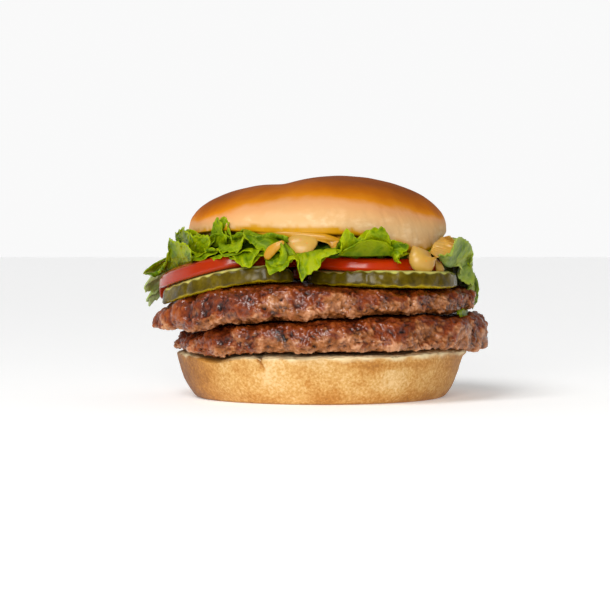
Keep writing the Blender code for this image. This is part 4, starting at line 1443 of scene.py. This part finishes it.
tree, shader, blotch, warts, skin, height = new_material(
    "pickled cucumber, wavy cut", pickles, [(BLOTCH_SIZE, 3), (WART_SIZE, 2)], ["skin", "height"],
)
peel_stops = [(0.35, "#403500"), (0.55, "#574800"), (0.75, "#706010")]
peel = add_node(tree, "ValToRGB", {"Fac": blotch}, stops=peel_stops)
flesh_stops = [(0.0, "#A89208"), (0.5, "#B9AE3C"), (1.0, "#CBCB78")]
flesh = add_node(tree, "ValToRGB", {"Fac": height}, stops=flesh_stops)
slice_colour = add_node(tree, "Mix", {0: skin, 6: flesh, 7: peel}, give=2, data_type="RGBA")
bump = add_node(tree, "Bump", {"Strength": 0.3, "Distance": 0.2 * MM, "Height": warts})
connect(tree, shader, {
    "Base Color": slice_colour, "Normal": bump, "Roughness": 0.26, "IOR": 1.4, "Specular IOR Level": 0.35,
    "Subsurface Weight": 0.15, "Subsurface Radius": (1.0, 0.9, 0.2), "Subsurface Scale": 1.5 * MM,
})

# %% [markdown]
# A ripe tomato is red because light goes a few millimetres into its flesh and comes out red. Its skin is
# taut and waxy, so the eye sees a smooth, sharp shine on the rim. The cut flesh is paler and blotched, and
# the slice at the left is drawn darker than the other.

# %% Ripe tomato
BLUSH_SIZE = 22
SEED_SIZE = 3

tree, shader, blush, seeds, skin, ripe = new_material(
    "ripe tomato, sliced", tomatoes, [(BLUSH_SIZE, 2), (SEED_SIZE, 3)], ["skin", "ripe"],
)
peel = add_node(tree, "ValToRGB", {"Fac": blush}, stops=[(0.35, "#CE2C00"), (0.6, "#E23E00")])
# The slice at the left is drawn darker than the other.
peel = add_node(tree, "Mix", {0: ripe, 6: peel, 7: colour("#A02800")}, give=2, data_type="RGBA")
flesh = add_node(tree, "ValToRGB", {"Fac": seeds}, stops=[(0.35, "#A82410"), (0.65, "#C9563C")])
slice_colour = add_node(tree, "Mix", {0: skin, 6: flesh, 7: peel}, give=2, data_type="RGBA")
connect(tree, shader, {
    "Base Color": slice_colour, "Roughness": 0.2, "IOR": 1.42, "Specular IOR Level": 0.5,
    "Subsurface Weight": 0.12, "Subsurface Radius": (1.0, 0.2, 0.1), "Subsurface Scale": 2.0 * MM,
})

# %% [markdown]
# A lettuce leaf is thin and lets light through. The eye sees a yellow green that is brightest at the frilled
# edge, a net of paler veins about 5 mm apart, and a grey bloom where its back faces out. Its wax gives a
# weak, broad shine only. Where the leaf goes into the stack it is drawn dark, as painted shade, and it is
# drawn lighter and darker along its folds, as painted light and shade on them.

# %% Lettuce
VEIN_SPACING = 5.0
TONE_SIZE = 12
HAZE_SIZE = 6

tree, shader, tone, haze, out, fold, bloom = new_material(
    "green leaf lettuce", leaves, [(TONE_SIZE, 2), (HAZE_SIZE, 3)], ["out", "fold", "bloom"],
)
leaf_map = add_node(tree, "Attribute", give="Vector", attribute_name="leaf_map")
# the leaf's own map is in millimetres, so this scale is one over millimetres too
net = {"Vector": leaf_map, "Scale": 1 / VEIN_SPACING}
veins = add_node(tree, "TexVoronoi", net, feature="DISTANCE_TO_EDGE")
# Painted light and shade: the tone is lighter on the crests of the folds and darker in their hollows.
tone = add_node(tree, "Math", {0: fold, 1: 0.3, 2: tone}, operation="MULTIPLY_ADD")
tone = add_node(tree, "Math", {0: tone, 1: 0.13}, operation="SUBTRACT")
blade_stops = [(0.3, "#486400"), (0.5, "#728800"), (0.66, "#929E00")]
blade = add_node(tree, "ValToRGB", {"Fac": tone}, stops=blade_stops)
at_vein = add_node(tree, "MapRange", {0: veins, 1: 0.0, 2: 0.07, 3: 0.35, 4: 0.0})
at_edge = add_node(tree, "MapRange", {0: out, 1: 0.93, 2: 1.0, 3: 0.0, 4: 0.5})
# Painted shade: the leaf is drawn dark green where it goes into the stack and on the crumpled middle.
deep = add_node(tree, "MapRange", {0: out, 1: 0.0, 2: 0.7, 3: 0.9, 4: 0.0})
haze = add_node(tree, "MapRange", {0: haze, 1: 0.35, 2: 0.6, 3: 0.4, 4: 1.5})
bloom = add_node(tree, "Math", {0: bloom, 1: haze}, operation="MULTIPLY", use_clamp=True)
for share, code in ((at_vein, "#9FB020"), (at_edge, "#A9B800"), (deep, "#2F4A00"), (bloom, "#B4C48C")):
    blade = add_node(tree, "Mix", {0: share, 6: blade, 7: colour(code)}, give=2, data_type="RGBA")
bump = add_node(tree, "Bump", {"Strength": 0.4, "Distance": 0.3 * MM, "Height": veins})
connect(tree, shader, {
    "Base Color": blade, "Normal": bump, "Roughness": 0.4, "IOR": 1.42, "Specular IOR Level": 0.12,
    "Subsurface Weight": 0.2, "Subsurface Radius": (0.6, 1.0, 0.1), "Subsurface Scale": 0.8 * MM,
})

# %% [markdown]
# The sauce is an emulsion of oil, egg and ground spices. The eye sees a smooth, softly shining cream with
# orange specks a few tenths of a millimetre wide, one to about two millimetres, and a clearer ochre where
# it is only a film.

# %% Burger sauce
SPECK_SPACING = 2.2
STIR_SIZE = 8

tree, shader, stir, film = new_material(
    "creamy burger sauce with specks", [sauce, *drops], [(STIR_SIZE, 2)], ["soaked"],
)
where = add_node(tree, "TexCoord", give="Object")
speck = add_node(tree, "TexVoronoi", {"Vector": where, "Scale": scale_for(SPECK_SPACING)})
at_speck = add_node(tree, "MapRange", {0: speck, 1: 0.1, 2: 0.2, 3: 0.8, 4: 0.0})
cream = add_node(tree, "ValToRGB", {"Fac": stir}, stops=[(0.3, "#BA8A36"), (0.7, "#C69E48")])
for share, code in ((at_speck, "#D87818"), (film, "#BE8600")):
    cream = add_node(tree, "Mix", {0: share, 6: cream, 7: colour(code)}, give=2, data_type="RGBA")
connect(tree, shader, {
    "Base Color": cream, "Roughness": 0.3, "IOR": 1.45, "Subsurface Weight": 0.15,
    "Subsurface Radius": (1.0, 0.7, 0.3), "Subsurface Scale": 1.5 * MM,
})
